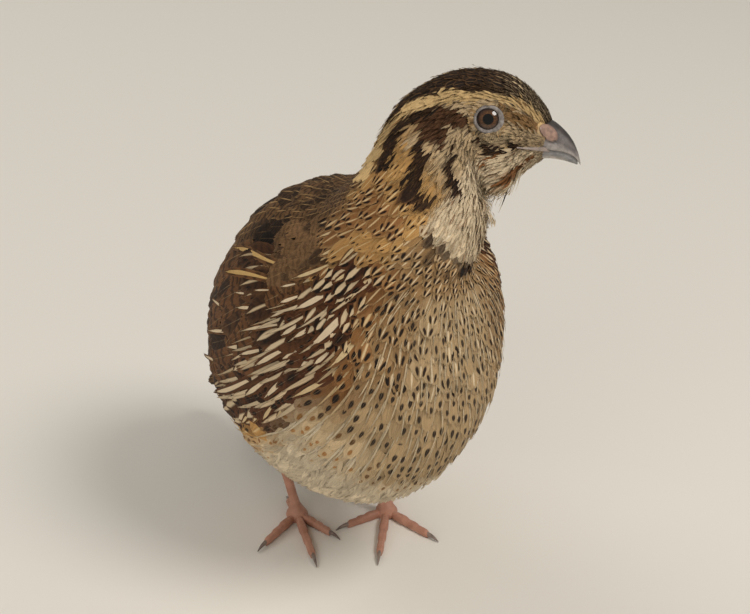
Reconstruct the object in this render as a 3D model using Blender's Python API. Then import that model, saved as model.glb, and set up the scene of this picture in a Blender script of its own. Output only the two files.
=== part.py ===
"""A coturnix quail hen, life size and still, standing with its head turned to its left.

The body, from the bill's base to the tail's tip, is one loft. Each station gives a dorsal and a
ventral point on the middle plane, a half width and the level of that width, and the section between
them is an ellipse. The loft is shaped looking straight ahead, then each section is turned about the
neck's upright axis, so that the head looks aside. Head, neck, trunk and tail are lengths of it, and
the wings are patches of its surface. All sizes below are millimetres and degrees.
"""

import math

import bmesh
import bpy
import numpy as np
from mathutils import Matrix, Vector

MM = 0.001
GAP = 0.3
# Moves the posed bird so that its bounding box is centred on the origin.
CENTRE_X, CENTRE_Y = 0.0, -15.26

# The eye's place, forward of the shaping origin and above the floor.
EYE_FORWARD, EYE_HEIGHT = 40.4, 137.6
# Stations of the head, from the eye: dorsal forward and up, ventral forward and up, half width,
# and how far down from the dorsal point the section is widest.
HEAD_STATIONS = (
    (15.4, 0.5, 13.7, -8.7, 3.9, 0.62),
    (12.4, 5.0, 11.3, -10.1, 6.6, 0.60),
    (7.8, 9.4, 7.4, -12.9, 9.0, 0.52),
    (2.0, 11.6, 4.2, -16.0, 10.6, 0.46),
    (-6.4, 11.9, -1.0, -18.4, 11.8, 0.46),
    (-14.4, 8.8, 0.2, -23.4, 12.8, 0.48),
    (-22.4, 2.4, 0.2, -28.2, 14.1, 0.50),
)
# Stations of the neck, trunk and tail: the same six, from the shaping origin and the floor.
BODY_STATIONS = (
    (11.5, 125.6, 40.0, 102.8, 16.9, 0.50),
    (6.6, 119.6, 41.1, 96.8, 19.5, 0.50),
    (-2.8, 113.2, 42.1, 87.0, 24.2, 0.50),
    (-15.4, 109.2, 42.5, 71.8, 28.6, 0.50),
    (-27.4, 104.2, 39.4, 56.6, 31.5, 0.49),
    (-40.4, 92.8, 28.2, 38.6, 31.9, 0.48),
    (-49.4, 80.2, 13.6, 26.0, 30.4, 0.48),
    (-54.4, 67.4, -5.2, 20.6, 27.2, 0.48),
    (-59.2, 54.4, -27.0, 20.2, 20.8, 0.48),
    (-64.4, 42.4, -47.0, 22.2, 13.6, 0.49),
    (-69.0, 34.0, -59.6, 21.8, 11.6, 0.50),
    (-73.4, 26.8, -69.4, 20.4, 10.0, 0.50),
    (-77.4, 20.4, -76.4, 18.6, 6.6, 0.50),
)
# Where the loft is cut into nodes, in stations along.
HEAD_END, NECK_END, TRUNK_END = 6.0, 9.0, 16.0
# The gap between two lengths of the loft, as a share of a station.
LENGTH_GAPS = {HEAD_END: 0.05, NECK_END: 0.03, TRUNK_END: 0.03}

# The pose of head and neck.
NECK_AXIS_FORWARD = 22.8
HEAD_TURN, HEAD_ROLL, HEAD_PITCH = 54.1, 23.5, -0.7
ROLL_FORWARD, ROLL_HEIGHT = 30.4, 129.6
TURN_START, TURN_END = 5.0, 9.0

AROUND = 36
HEAD_RINGS, NECK_RINGS, TRUNK_RINGS, TAIL_RINGS = 16, 8, 21, 6

EYE_RADIUS, EYE_ASIDE, EYE_OPENING = 4.6, 6.1, 3.4
EYE_SHAFT_ENDS = (1.0, 9.0)
EYE_SEGMENTS, EYE_RINGS = 16, 10

# The bill's stations, from the eye: forward at the upper edge, upper and lower edge heights, half
# width, and how much of the lean of the head's front the section keeps.
UPPER_BILL = (
    (15.75, 0.0, -6.9, 3.6, 1.0),
    (17.2, -0.9, -7.1, 3.2, 0.8),
    (18.9, -2.4, -7.4, 2.6, 0.6),
    (20.3, -4.4, -8.0, 1.9, 0.4),
    (21.4, -6.8, -8.9, 1.1, 0.2),
    (21.9, -8.8, -9.8, 0.45, 0.0),
)
LOWER_BILL = (
    (14.4, -7.25, -9.0, 3.2, 1.0),
    (15.9, -7.4, -9.4, 2.8, 0.7),
    (17.7, -7.75, -9.7, 2.2, 0.4),
    (19.3, -8.4, -9.9, 1.5, 0.2),
    (20.4, -9.2, -10.0, 0.7, 0.0),
)
BILL_LEAN = 0.185
BILL_AROUND = 18

# The folded wing as a patch of the loft: stations along, the middle and half spread in degrees
# around from the dorsal line, and the outer surface's lift off the body.
WING_START, WING_END = 9.55, 15.75
WING_LENGTH = 75.0
WING_ROWS, WING_COLUMNS = 17, 8
# How many times its margin the cutter for a wing's recess rises above the wing.
CUTTER_RISE = 4.0
WING_LIFT, WING_EDGE_LIFT, WING_DEPTH = 0.5, 0.15, 1.7
WING_MIDDLE = (80.0, 78.0, 72.0, 62.0, 52.0)
WING_SPREAD = (9.0, 29.0, 34.0, 25.0, 9.0)

# Feet on the floor: where the shank meets the toes, the hock's place, and each toe's heading in
# degrees from straight ahead towards the bird's right, with its reach to the claw's base.
FEET = {
    "right": {
        "base": (-7.1, 24.6),
        "hock": (-9.4, 34.4, 29.0),
        "toes": {"inner": (-15.0, 13.2), "middle": (18.0, 20.6), "outer": (64.0, 16.2), "hind": (193.0, 8.0)},
    },
    "left": {
        "base": (15.6, 12.0),
        "hock": (13.8, 22.0, 29.0),
        "toes": {"inner": (92.0, 13.0), "middle": (38.5, 20.6), "outer": (-13.0, 16.6), "hind": (222.0, 8.0)},
    },
}
TOE_START = 3.9
# Along each toe: share of its length, half width and height.
TOE_SECTIONS = ((0.0, 0.9, 1.9), (0.12, 1.15, 2.3), (0.34, 1.3, 2.4), (0.42, 1.1, 2.1), (0.62, 1.2, 2.2),
                (0.7, 1.0, 1.9), (0.9, 1.05, 1.9), (1.0, 0.75, 1.4))
TOE_AROUND = 10
CLAW_LENGTHS = {"inner": 3.6, "middle": 4.4, "outer": 3.6, "hind": 2.4}
# Along each claw: share of its length, half width, middle height and half height.
CLAW_SECTIONS = ((0.0, 0.62, 1.0, 0.62), (0.35, 0.55, 1.1, 0.55), (0.7, 0.38, 0.85, 0.4),
                 (1.0, 0.14, 0.35, 0.16))
CLAW_AROUND = 7

# The shank stands on a small pad between the toes: height, half width across and half depth.
SHANK_SECTIONS = ((0.0, 2.9, 2.9), (1.4, 3.3, 3.3), (3.0, 2.3, 2.5), (5.0, 1.4, 1.7), (9.0, 1.25, 1.6),
                  (13.0, 1.3, 1.7), (17.0, 1.55, 1.95))
SHANK_STRAIGHT = 3.0
SHANK_AROUND = 14
THIGH_SECTIONS = ((17.3, 2.4, 2.8), (19.0, 3.9, 4.6), (22.0, 5.4, 6.6), (26.0, 6.8, 8.4), (30.0, 7.4, 9.2),
                  (33.5, 6.0, 7.6), (35.5, 3.0, 3.8))
THIGH_AROUND = 16

COLOURS = {
    "head": (0.30, 0.19, 0.11), "neck": (0.52, 0.38, 0.23), "trunk": (0.55, 0.40, 0.26),
    "tail": (0.26, 0.16, 0.09), "wing": (0.24, 0.14, 0.08), "thigh": (0.66, 0.56, 0.44),
    "eye": (0.03, 0.015, 0.01), "bill_upper": (0.20, 0.19, 0.20), "bill_lower": (0.42, 0.38, 0.37),
    "shank": (0.62, 0.36, 0.30), "toe": (0.62, 0.36, 0.30), "claw": (0.30, 0.24, 0.21),
}
ROUGHNESSES = {"eye": 0.08, "bill_upper": 0.42, "bill_lower": 0.45, "shank": 0.55, "toe": 0.55, "claw": 0.4}
FEATHER_ROUGHNESS = 0.85
SHARP_ANGLE = math.radians(50)


def clear_scene():
    for thing in list(bpy.data.objects):
        bpy.data.objects.remove(thing, do_unlink=True)


def new_collection(name):
    found = bpy.data.collections.new(name)
    bpy.context.scene.collection.children.link(found)
    return found


def material_for(name, kind):
    material = bpy.data.materials.new(name)
    material.use_nodes = True
    shader = material.node_tree.nodes["Principled BSDF"]
    shader.inputs["Base Color"].default_value = (*COLOURS[kind], 1.0)
    shader.inputs["Roughness"].default_value = ROUGHNESSES.get(kind, FEATHER_ROUGHNESS)
    shader.inputs["Metallic"].default_value = 0.0
    return material


def all_stations():
    rows = [(EYE_FORWARD + r[0], EYE_HEIGHT + r[1], EYE_FORWARD + r[2], EYE_HEIGHT + r[3], r[4], r[5])
            for r in HEAD_STATIONS]
    return np.array(rows + [tuple(r) for r in BODY_STATIONS], float)


def curve_through(values, at):
    """A smooth curve through evenly numbered values, each tangent from the two neighbours."""
    values = np.asarray(values, float)
    slopes = np.gradient(values, axis=0)
    first = np.clip(np.floor(at).astype(int), 0, len(values) - 2)
    part = (at - first).reshape((-1,) + (1,) * (values.ndim - 1))
    a, b, from_a, into_b = values[first], values[first + 1], slopes[first], slopes[first + 1]
    return (a * (1 + 2 * part) * (1 - part) ** 2 + b * part**2 * (3 - 2 * part)
            + from_a * part * (1 - part) ** 2 + into_b * part**2 * (part - 1))


def eased(share):
    share = np.clip(share, 0, 1)
    return share * share * (3 - 2 * share)


def straight_surface(along, around):
    """Points of the loft looking straight ahead, from places along and angles around of one shape."""
    rows = curve_through(all_stations(), along.ravel()).reshape(along.shape + (6,))
    dorsal, ventral, half, level = rows[..., 0:2], rows[..., 2:4], rows[..., 4], rows[..., 5:6]
    middle = dorsal + level * (ventral - dorsal)
    up = np.maximum(np.cos(around), 0)[..., None]
    down = np.maximum(-np.cos(around), 0)[..., None]
    plane = middle + up * (dorsal - middle) + down * (ventral - middle)
    return np.stack([half * np.sin(around), -plane[..., 0], plane[..., 1]], -1)


def posed(points, along):
    """Rolls, pitches and turns each point by the share of its place along, then centres the bird."""
    share = 1 - eased((along - TURN_START) / (TURN_END - TURN_START))
    pivot = np.array([0.0, -ROLL_FORWARD, ROLL_HEIGHT])
    x, y, z = np.moveaxis(points - pivot, -1, 0)
    roll, pitch, turn = (np.radians(angle) * share for angle in (HEAD_ROLL, HEAD_PITCH, HEAD_TURN))
    x, z = x * np.cos(roll) + z * np.sin(roll), z * np.cos(roll) - x * np.sin(roll)
    y, z = y * np.cos(pitch) - z * np.sin(pitch), y * np.sin(pitch) + z * np.cos(pitch)
    y = y + pivot[1] + NECK_AXIS_FORWARD
    x, y = x * np.cos(turn) - y * np.sin(turn), x * np.sin(turn) + y * np.cos(turn)
    return np.stack([x + CENTRE_X, y - NECK_AXIS_FORWARD + CENTRE_Y, z + pivot[2]], -1)


def body_surface(along, around):
    return posed(straight_surface(along, around), along)


def body_normals(along, around):
    """Outward unit normals of the posed loft, from small steps both ways."""
    step = 0.01
    forth = body_surface(along + step, around) - body_surface(along - step, around)
    aside = body_surface(along, around + step) - body_surface(along, around - step)
    normal = np.cross(aside, forth)
    return normal / np.linalg.norm(normal, axis=-1, keepdims=True)


def on_head(points):
    """Points given from the eye as aside, forward and up, moved onto the posed head."""
    points = np.asarray(points, float)
    straight = np.stack([points[:, 0], -(EYE_FORWARD + points[:, 1]), EYE_HEIGHT + points[:, 2]], -1)
    return posed(straight, np.zeros(len(points)))


def mesh_from(name, points, faces):
    mesh = bpy.data.meshes.new(name)
    mesh.from_pydata((np.asarray(points) * MM).tolist(), [], faces)
    work = bmesh.new()
    work.from_mesh(mesh)
    bmesh.ops.recalc_face_normals(work, faces=work.faces)
    if work.calc_volume(signed=True) < 0:
        bmesh.ops.reverse_faces(work, faces=work.faces)
    work.to_mesh(mesh)
    work.free()
    return mesh


def add_node(name, kind, mesh, collection):
    node = bpy.data.objects.new(name, mesh)
    mesh.shade_smooth()
    mesh.set_sharp_from_angle(angle=SHARP_ANGLE)
    mesh.materials.append(material_for(name, kind))
    collection.objects.link(node)
    return node


def add_cutter(name, mesh, cutters):
    cutter = bpy.data.objects.new(name, mesh)
    cutters.objects.link(cutter)
    cutter.hide_render = True
    cutter.display_type = "WIRE"
    return cutter


def cut(node, cutter):
    tool = node.modifiers.new(cutter.name, "BOOLEAN")
    tool.operation = "DIFFERENCE"
    tool.solver = "EXACT"
    tool.object = cutter


def joined_rings(rings):
    """Points and faces of a tube through the rings, with a flat cap on each end."""
    rings = np.asarray(rings)
    count, around = rings.shape[:2]
    faces = []
    for i in range(0, (count - 1) * around, around):
        for j in range(around):
            k = (j + 1) % around
            faces.append((i + j, i + around + j, i + around + k, i + k))
    faces.append(tuple(range(around)))
    faces.append(tuple((count - 1) * around + j for j in reversed(range(around))))
    return rings.reshape(-1, 3), faces


def circle_angles(count):
    return np.arange(count) * 2 * math.pi / count


def body_length(name, start, end, rings):
    """One length of the loft between two places along, shortened at each cut by its gap."""
    start += LENGTH_GAPS.get(start, 0.0)
    end -= LENGTH_GAPS.get(end, 0.0)
    along, around = np.meshgrid(np.linspace(start, end, rings), circle_angles(AROUND), indexing="ij")
    return mesh_from(name, *joined_rings(body_surface(along, around)))


def wing_mesh(name, side, margin):
    """A patch of the body's surface, from below it to above it. A margin makes it larger all round."""
    grow = margin / WING_LENGTH
    u = np.linspace(-grow, 1 + grow, WING_ROWS)
    v = np.linspace(-1, 1, WING_COLUMNS)
    along = WING_START + (WING_END - WING_START) * u
    places = np.clip(u, 0, 1) * (len(WING_MIDDLE) - 1)
    middle = np.radians(curve_through(WING_MIDDLE, places))
    half_width = curve_through(all_stations()[:, 4], along)
    spread = np.radians(curve_through(WING_SPREAD, places)) + margin / half_width
    around = side * (middle[:, None] + spread[:, None] * v[None, :])
    along = np.broadcast_to(along[:, None], around.shape)
    surface, normal = body_surface(along, around), body_normals(along, around)
    bulge = np.sqrt(np.clip(1 - v[None, :] ** 2, 0, 1)) * np.ones_like(around)
    lift = WING_EDGE_LIFT + (WING_LIFT - WING_EDGE_LIFT) * bulge + margin * CUTTER_RISE
    top = surface + normal * lift[..., None]
    bottom = surface - normal * (WING_DEPTH + margin)
    rows, columns = around.shape
    points = np.concatenate([top.reshape(-1, 3), bottom.reshape(-1, 3)])
    below = rows * columns
    faces = []
    for i in range(rows - 1):
        for j in range(columns - 1):
            a = i * columns + j
            b, c, d = a + columns, a + columns + 1, a + 1
            faces += [(a, b, c, d), (below + d, below + c, below + b, below + a)]
    rim = [(0, j) for j in range(columns)] + [(i, columns - 1) for i in range(1, rows)]
    rim += [(rows - 1, j) for j in range(columns - 2, -1, -1)] + [(i, 0) for i in range(rows - 2, 0, -1)]
    for (i, j), (k, m) in zip(rim, rim[1:] + rim[:1]):
        a, b = i * columns + j, k * columns + m
        faces.append((a, b, below + b, below + a))
    return mesh_from(name, points, faces)


def eye_mesh(name, side, margin):
    place = Matrix.Translation(Vector(on_head([(side * EYE_ASIDE, 0.0, 0.0)])[0]) * MM)
    work = bmesh.new()
    bmesh.ops.create_uvsphere(work, u_segments=EYE_SEGMENTS, v_segments=EYE_RINGS,
                              radius=(EYE_RADIUS + margin) * MM, matrix=place)
    mesh = bpy.data.meshes.new(name)
    work.to_mesh(mesh)
    work.free()
    return mesh


def eye_opening_mesh(name, side):
    """A short round shaft from inside the eyeball out through the side of the head."""
    inner, outer = (Vector(point) for point in on_head([(side * (EYE_ASIDE + reach), 0.0, 0.0)
                                                        for reach in EYE_SHAFT_ENDS]))
    facing = (outer - inner).to_track_quat("Z", "Y").to_matrix().to_4x4()
    place = Matrix.Translation((inner + outer) / 2 * MM) @ facing
    work = bmesh.new()
    bmesh.ops.create_cone(work, cap_ends=True, segments=2 * EYE_SEGMENTS, radius1=EYE_OPENING * MM,
                          radius2=EYE_OPENING * MM, depth=(outer - inner).length * MM, matrix=place)
    mesh = bpy.data.meshes.new(name)
    work.to_mesh(mesh)
    work.free()
    return mesh


def bill_mesh(name, stations, arch_up):
    """Sections with a flat side along the gape and an arch above it, or below it on the lower bill."""
    angles = circle_angles(BILL_AROUND)
    rings = []
    for forward, upper, lower, half, lean_share in stations:
        arch = np.abs(np.sin(angles)) * (upper - lower)
        raised = np.sin(angles) > 0
        height = np.where(raised, lower + arch, lower) if arch_up else np.where(raised, upper, upper - arch)
        lean = BILL_LEAN * lean_share * (height - upper)
        rings.append(on_head(np.stack([half * np.cos(angles), forward + lean, height], -1)))
    return mesh_from(name, *joined_rings(rings))


def toe_frame(base, heading):
    """The toe's direction and its sideways direction on the floor."""
    angle = math.radians(heading)
    ahead = np.array([-math.sin(angle), -math.cos(angle)])
    return np.array(base) + [CENTRE_X, CENTRE_Y], ahead, np.array([-ahead[1], ahead[0]])


def toe_mesh(name, base, heading, reach):
    """Rounded sections with their lower part flat on the floor."""
    origin, ahead, aside = toe_frame(base, heading)
    angles = circle_angles(TOE_AROUND)
    rings = []
    for share, half, height in TOE_SECTIONS:
        centre = origin + ahead * (TOE_START + (reach - TOE_START) * share)
        plane = centre[None, :] + aside[None, :] * (half * np.cos(angles))[:, None]
        rise = np.clip(height / 2 + (height / 2) * 1.15 * np.sin(angles), 0, height)
        rings.append(np.column_stack([plane, rise]))
    return mesh_from(name, *joined_rings(rings))


def claw_mesh(name, base, heading, reach, length):
    origin, ahead, aside = toe_frame(base, heading)
    angles = circle_angles(CLAW_AROUND)
    rings = []
    for share, half, middle, half_height in CLAW_SECTIONS:
        centre = origin + ahead * (reach + GAP + length * share)
        plane = centre[None, :] + aside[None, :] * (half * np.cos(angles))[:, None]
        rings.append(np.column_stack([plane, middle + half_height * np.sin(angles)]))
    return mesh_from(name, *joined_rings(rings))


def leg_mesh(name, sections, foot, around, margin):
    """Upright sections on a line from the toes' meeting point to the hock."""
    base, hock = np.array(foot["base"]), np.array(foot["hock"])
    angles = circle_angles(around)
    rings = []
    for height, across, deep in sections:
        share = max(0.0, (height - SHANK_STRAIGHT) / (hock[2] - SHANK_STRAIGHT))
        centre = base + (hock[:2] - base) * share + [CENTRE_X, CENTRE_Y]
        rings.append(np.column_stack([centre[0] + (across + margin) * np.cos(angles),
                                      centre[1] + (deep + margin) * np.sin(angles),
                                      np.full(around, height)]))
    rings[-1][:, 2] += margin
    rings[0][:, 2] -= margin
    return mesh_from(name, *joined_rings(rings))


def build():
    clear_scene()
    bird = new_collection("coturnix_quail")
    cutters = new_collection("cutters")
    cutters.hide_render = True
    sides = {"left": 1, "right": -1}

    head = add_node("head", "head", body_length("head", 0.0, HEAD_END, HEAD_RINGS), bird)
    add_node("neck", "neck", body_length("neck", HEAD_END, NECK_END, NECK_RINGS), bird)
    trunk = add_node("trunk", "trunk", body_length("trunk", NECK_END, TRUNK_END, TRUNK_RINGS), bird)
    last_place = float(len(HEAD_STATIONS) + len(BODY_STATIONS) - 1)
    add_node("tail", "tail", body_length("tail", TRUNK_END, last_place, TAIL_RINGS), bird)
    add_node("bill_upper", "bill_upper", bill_mesh("bill_upper", UPPER_BILL, True), bird)
    add_node("bill_lower", "bill_lower", bill_mesh("bill_lower", LOWER_BILL, False), bird)

    for name, side in sides.items():
        foot = FEET[name]
        add_node("eye_" + name, "eye", eye_mesh("eye_" + name, side, 0.0), bird)
        socket = eye_mesh("eyeball_cutter_" + name, side, GAP)
        cut(head, add_cutter("eyeball_cutter_" + name, socket, cutters))
        shaft = eye_opening_mesh("eye_shaft_" + name, side)
        cut(head, add_cutter("eye_shaft_" + name, shaft, cutters))

        add_node("wing_" + name, "wing", wing_mesh("wing_" + name, side, 0.0), bird)
        cut(trunk, add_cutter("wing_cutter_" + name, wing_mesh("wing_cutter_" + name, side, GAP), cutters))

        thigh = leg_mesh("thigh_" + name, THIGH_SECTIONS, foot, THIGH_AROUND, 0.0)
        add_node("thigh_" + name, "thigh", thigh, bird)
        socket = leg_mesh("thigh_cutter_" + name, THIGH_SECTIONS, foot, THIGH_AROUND, GAP)
        cut(trunk, add_cutter("thigh_cutter_" + name, socket, cutters))
        shank = leg_mesh("shank_" + name, SHANK_SECTIONS, foot, SHANK_AROUND, 0.0)
        add_node("shank_" + name, "shank", shank, bird)

        for toe, (heading, reach) in foot["toes"].items():
            node = "toe_" + toe + "_" + name
            add_node(node, "toe", toe_mesh(node, foot["base"], heading, reach), bird)
            node = "claw_" + toe + "_" + name
            claw = claw_mesh(node, foot["base"], heading, reach, CLAW_LENGTHS[toe])
            add_node(node, "claw", claw, bird)


build()
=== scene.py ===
"""The looks of a coturnix quail hen, life size, standing with its head turned to its left.

One skin carries the whole bird. Its plumage is solid vanes laid over the skin, in staggered rows that
follow the loft of the body from the bill to the tail. Places on the body are given in stations along
the loft and in angles around it from the middle of the back. All sizes are millimetres and degrees.
"""

import math

import bmesh
import bpy
import numpy as np
from mathutils import Matrix, Vector


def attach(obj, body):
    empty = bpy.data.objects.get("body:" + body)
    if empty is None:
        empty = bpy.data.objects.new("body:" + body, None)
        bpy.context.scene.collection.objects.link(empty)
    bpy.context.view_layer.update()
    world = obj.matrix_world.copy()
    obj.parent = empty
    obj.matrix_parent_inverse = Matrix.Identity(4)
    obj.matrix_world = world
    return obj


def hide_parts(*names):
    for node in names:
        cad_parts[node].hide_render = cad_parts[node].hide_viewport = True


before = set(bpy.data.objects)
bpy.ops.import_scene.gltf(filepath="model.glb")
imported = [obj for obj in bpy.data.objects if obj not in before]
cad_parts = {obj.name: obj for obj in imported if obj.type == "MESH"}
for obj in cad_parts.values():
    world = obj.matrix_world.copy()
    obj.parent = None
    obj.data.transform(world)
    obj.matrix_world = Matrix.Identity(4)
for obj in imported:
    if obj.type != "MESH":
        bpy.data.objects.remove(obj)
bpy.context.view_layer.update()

MM = 0.001
SIDES = {"left": 1, "right": -1}
CENTRE_X, CENTRE_Y = 0.0, -15.26

# The loft of the body, as in the solids. Each station gives how far forward and how high its upper edge and
# its lower edge lie, its half width, and how far down between the edges it is widest, as a share. The
# head's stations are given from the eye.
EYE_FORWARD, EYE_HEIGHT = 40.4, 137.6
HEAD_STATIONS = (
    (15.4, 0.5, 13.7, -8.7, 3.9, 0.62),
    (12.4, 5.0, 11.3, -10.1, 6.6, 0.60),
    (7.8, 9.4, 7.4, -12.9, 9.0, 0.52),
    (2.0, 11.6, 4.2, -16.0, 10.6, 0.46),
    (-6.4, 11.9, -1.0, -18.4, 11.8, 0.46),
    (-14.4, 8.8, 0.2, -23.4, 12.8, 0.48),
    (-22.4, 2.4, 0.2, -28.2, 14.1, 0.50),
)
BODY_STATIONS = (
    (11.5, 125.6, 40.0, 102.8, 16.9, 0.50),
    (6.6, 119.6, 41.1, 96.8, 19.5, 0.50),
    (-2.8, 113.2, 42.1, 87.0, 24.2, 0.50),
    (-15.4, 109.2, 42.5, 71.8, 28.6, 0.50),
    (-27.4, 104.2, 39.4, 56.6, 31.5, 0.49),
    (-40.4, 92.8, 28.2, 38.6, 31.9, 0.48),
    (-49.4, 80.2, 13.6, 26.0, 30.4, 0.48),
    (-54.4, 67.4, -5.2, 20.6, 27.2, 0.48),
    (-59.2, 54.4, -27.0, 20.2, 20.8, 0.48),
    (-64.4, 42.4, -47.0, 22.2, 13.6, 0.49),
    (-69.0, 34.0, -59.6, 21.8, 11.6, 0.50),
    (-73.4, 26.8, -69.4, 20.4, 10.0, 0.50),
    (-77.4, 20.4, -76.4, 18.6, 6.6, 0.50),
)
LAST_STATION = float(len(HEAD_STATIONS) + len(BODY_STATIONS) - 1)
NECK_AXIS_FORWARD = 22.8
HEAD_TURN, HEAD_ROLL, HEAD_PITCH = 54.1, 23.5, -0.7
ROLL_FORWARD, ROLL_HEIGHT = 30.4, 129.6
TURN_START, TURN_END = 5.0, 9.0

# How deep the skin lies under the tips of the coat, at each station.
COAT_DEPTH = (0.25, 0.6, 0.8, 0.9, 1.0, 1.1, 1.3, 1.6, 1.9, 2.2, 2.5, 2.6, 2.6, 2.6, 2.5, 2.2, 1.8, 1.5,
              1.0, 0.4)
SKIN_RINGS, SKIN_AROUND = 300, 160

EYE_RADIUS, EYE_ASIDE = 4.55, 6.4
PUPIL, IRIS = 1.27, 2.4
LID_RADIUS, LID_ASIDE, LID_WIDTH, LID_HEIGHT = 3.0, 10.17, 0.46, 0.38

# The bill in sections: forward of the eye, top, gape or bottom, and half width.
UPPER_BILL = (
    (11.0, 3.0, -6.4, 6.5), (12.0, 2.2, -6.5, 6.0), (13.0, 1.5, -6.6, 5.3), (14.0, 0.9, -6.75, 4.6),
    (15.0, 0.4, -6.9, 4.05), (16.0, -0.15, -7.0, 3.6), (17.2, -1.1, -7.15, 3.05), (18.9, -2.8, -7.6, 2.4),
    (20.3, -4.8, -8.3, 1.7), (21.3, -7.0, -9.2, 1.0), (21.8, -8.7, -9.9, 0.5), (22.0, -9.6, -10.25, 0.2),
)
LOWER_BILL = (
    (12.0, -6.7, -8.9, 4.3), (14.4, -6.8, -8.75, 3.5), (15.9, -6.9, -8.85, 3.0), (17.7, -7.1, -9.15, 2.35),
    (19.3, -7.6, -9.55, 1.7), (20.6, -8.4, -9.95, 1.0), (21.3, -9.1, -10.15, 0.4),
)
GAPE = ((6.6, -6.35), (8.6, -6.45), (10.8, -6.5), (13.0, -6.55), (15.2, -6.7))
SOCKET_RADIUS, SOCKET_WALL, SOCKET_FLOOR = 3.45, 0.4, 7.4

# The folded wing as a patch of the loft: stations, and its middle and half spread in degrees.
WING_START, WING_END = 9.55, 15.75
WING_MIDDLE = (80.0, 78.0, 72.0, 62.0, 52.0)
WING_SPREAD = (9.0, 29.0, 34.0, 25.0, 9.0)

FEET = {
    "right": {
        "base": (-7.1, 24.6),
        "hock": (-9.4, 34.4, 29.0),
        "toes": {"inner": (-15.0, 13.2), "middle": (18.0, 20.6), "outer": (64.0, 16.2), "hind": (193.0, 8.0)},
    },
    "left": {
        "base": (15.6, 12.0),
        "hock": (13.8, 22.0, 29.0),
        "toes": {"inner": (92.0, 13.0), "middle": (38.5, 20.6), "outer": (-13.0, 16.6), "hind": (222.0, 8.0)},
    },
}

# Legs: height, half across and half deep up the shank and the thigh.
SHANK_STRAIGHT = 3.0
SHANK_SECTIONS = ((0.0, 2.9, 2.9), (1.4, 3.2, 3.2), (3.0, 2.3, 2.5), (5.0, 1.4, 1.7), (9.0, 1.25, 1.6),
                  (13.0, 1.3, 1.7), (17.0, 1.55, 1.95), (18.5, 1.7, 2.1))
THIGH_SECTIONS = ((35.5, 3.0, 3.8), (33.5, 6.0, 7.6), (30.0, 7.4, 9.2), (26.0, 6.8, 8.4), (22.0, 5.4, 6.6),
                  (19.0, 3.9, 4.6), (17.3, 2.4, 2.8))
TOE_START = 2.6
TOE_SECTIONS = ((0.0, 1.0, 2.1), (0.12, 1.15, 2.3), (0.34, 1.3, 2.4), (0.42, 1.1, 2.1), (0.62, 1.2, 2.2),
                (0.7, 1.0, 1.9), (0.9, 1.05, 1.9), (1.0, 0.75, 1.4))
CLAW_LENGTHS = {"inner": 3.6, "middle": 4.4, "outer": 3.6, "hind": 2.4}
CLAW_SECTIONS = ((0.0, 0.60, 1.0, 0.62), (0.35, 0.50, 1.1, 0.52), (0.7, 0.33, 0.85, 0.38),
                 (1.0, 0.10, 0.33, 0.13))
SCUTE_GAP, SCUTE_RISE = 1.25, 0.13

CAMERA_AZIMUTH, CAMERA_ELEVATION, CAMERA_DISTANCE = -32.7, 28.0, 480.0
CAMERA_TARGET = (14.06, 0.51, 67.02)
CAMERA_LENS, SENSOR_WIDTH = 84.0, 36.0


FROM_EYE = np.array([EYE_FORWARD, EYE_HEIGHT, EYE_FORWARD, EYE_HEIGHT, 0.0, 0.0])
STATIONS = np.concatenate([np.array(HEAD_STATIONS) + FROM_EYE, np.array(BODY_STATIONS)])


def curve_through(values, at):
    """A cubic from each evenly numbered value to the next, its slope at a value being half the step from
    the value before it to the value after it."""
    values = np.asarray(values, float)
    at = np.asarray(at, float)
    slopes = np.gradient(values, axis=0)
    first = np.clip(np.floor(at).astype(int), 0, len(values) - 2)
    part = (at - first).reshape(at.shape + (1,) * (values.ndim - 1))
    a, b, from_a, into_b = values[first], values[first + 1], slopes[first], slopes[first + 1]
    return (a * (1 + 2 * part) * (1 - part) ** 2 + b * part**2 * (3 - 2 * part)
            + from_a * part * (1 - part) ** 2 + into_b * part**2 * (part - 1))


def eased(share):
    """Nought to one, flat at both ends: three times the square less twice the cube."""
    share = np.clip(share, 0, 1)
    return share * share * (3 - 2 * share)


def straight_surface(along, around):
    """The loft looking straight ahead. From the widest level the cosine of the angle moves a point towards
    the upper or the lower edge, and its sine times the half width moves it aside."""
    rows = curve_through(STATIONS, along)
    dorsal, ventral, half, level = rows[..., 0:2], rows[..., 2:4], rows[..., 4], rows[..., 5:6]
    middle = dorsal + level * (ventral - dorsal)
    up = np.maximum(np.cos(around), 0)[..., None]
    down = np.maximum(-np.cos(around), 0)[..., None]
    plane = middle + up * (dorsal - middle) + down * (ventral - middle)
    return np.stack([half * np.sin(around), -plane[..., 0], plane[..., 1]], -1)


def posed(points, along):
    """Rolls, pitches and turns each point by the share of its place along, then centres the bird."""
    share = 1 - eased((along - TURN_START) / (TURN_END - TURN_START))
    pivot = np.array([0.0, -ROLL_FORWARD, ROLL_HEIGHT])
    x, y, z = np.moveaxis(points - pivot, -1, 0)
    roll, pitch, turn = (np.radians(angle) * share for angle in (HEAD_ROLL, HEAD_PITCH, HEAD_TURN))
    x, z = x * np.cos(roll) + z * np.sin(roll), z * np.cos(roll) - x * np.sin(roll)
    y, z = y * np.cos(pitch) - z * np.sin(pitch), y * np.sin(pitch) + z * np.cos(pitch)
    y = y + pivot[1] + NECK_AXIS_FORWARD
    x, y = x * np.cos(turn) - y * np.sin(turn), x * np.sin(turn) + y * np.cos(turn)
    return np.stack([x + CENTRE_X, y - NECK_AXIS_FORWARD + CENTRE_Y, z + pivot[2]], -1)


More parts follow.
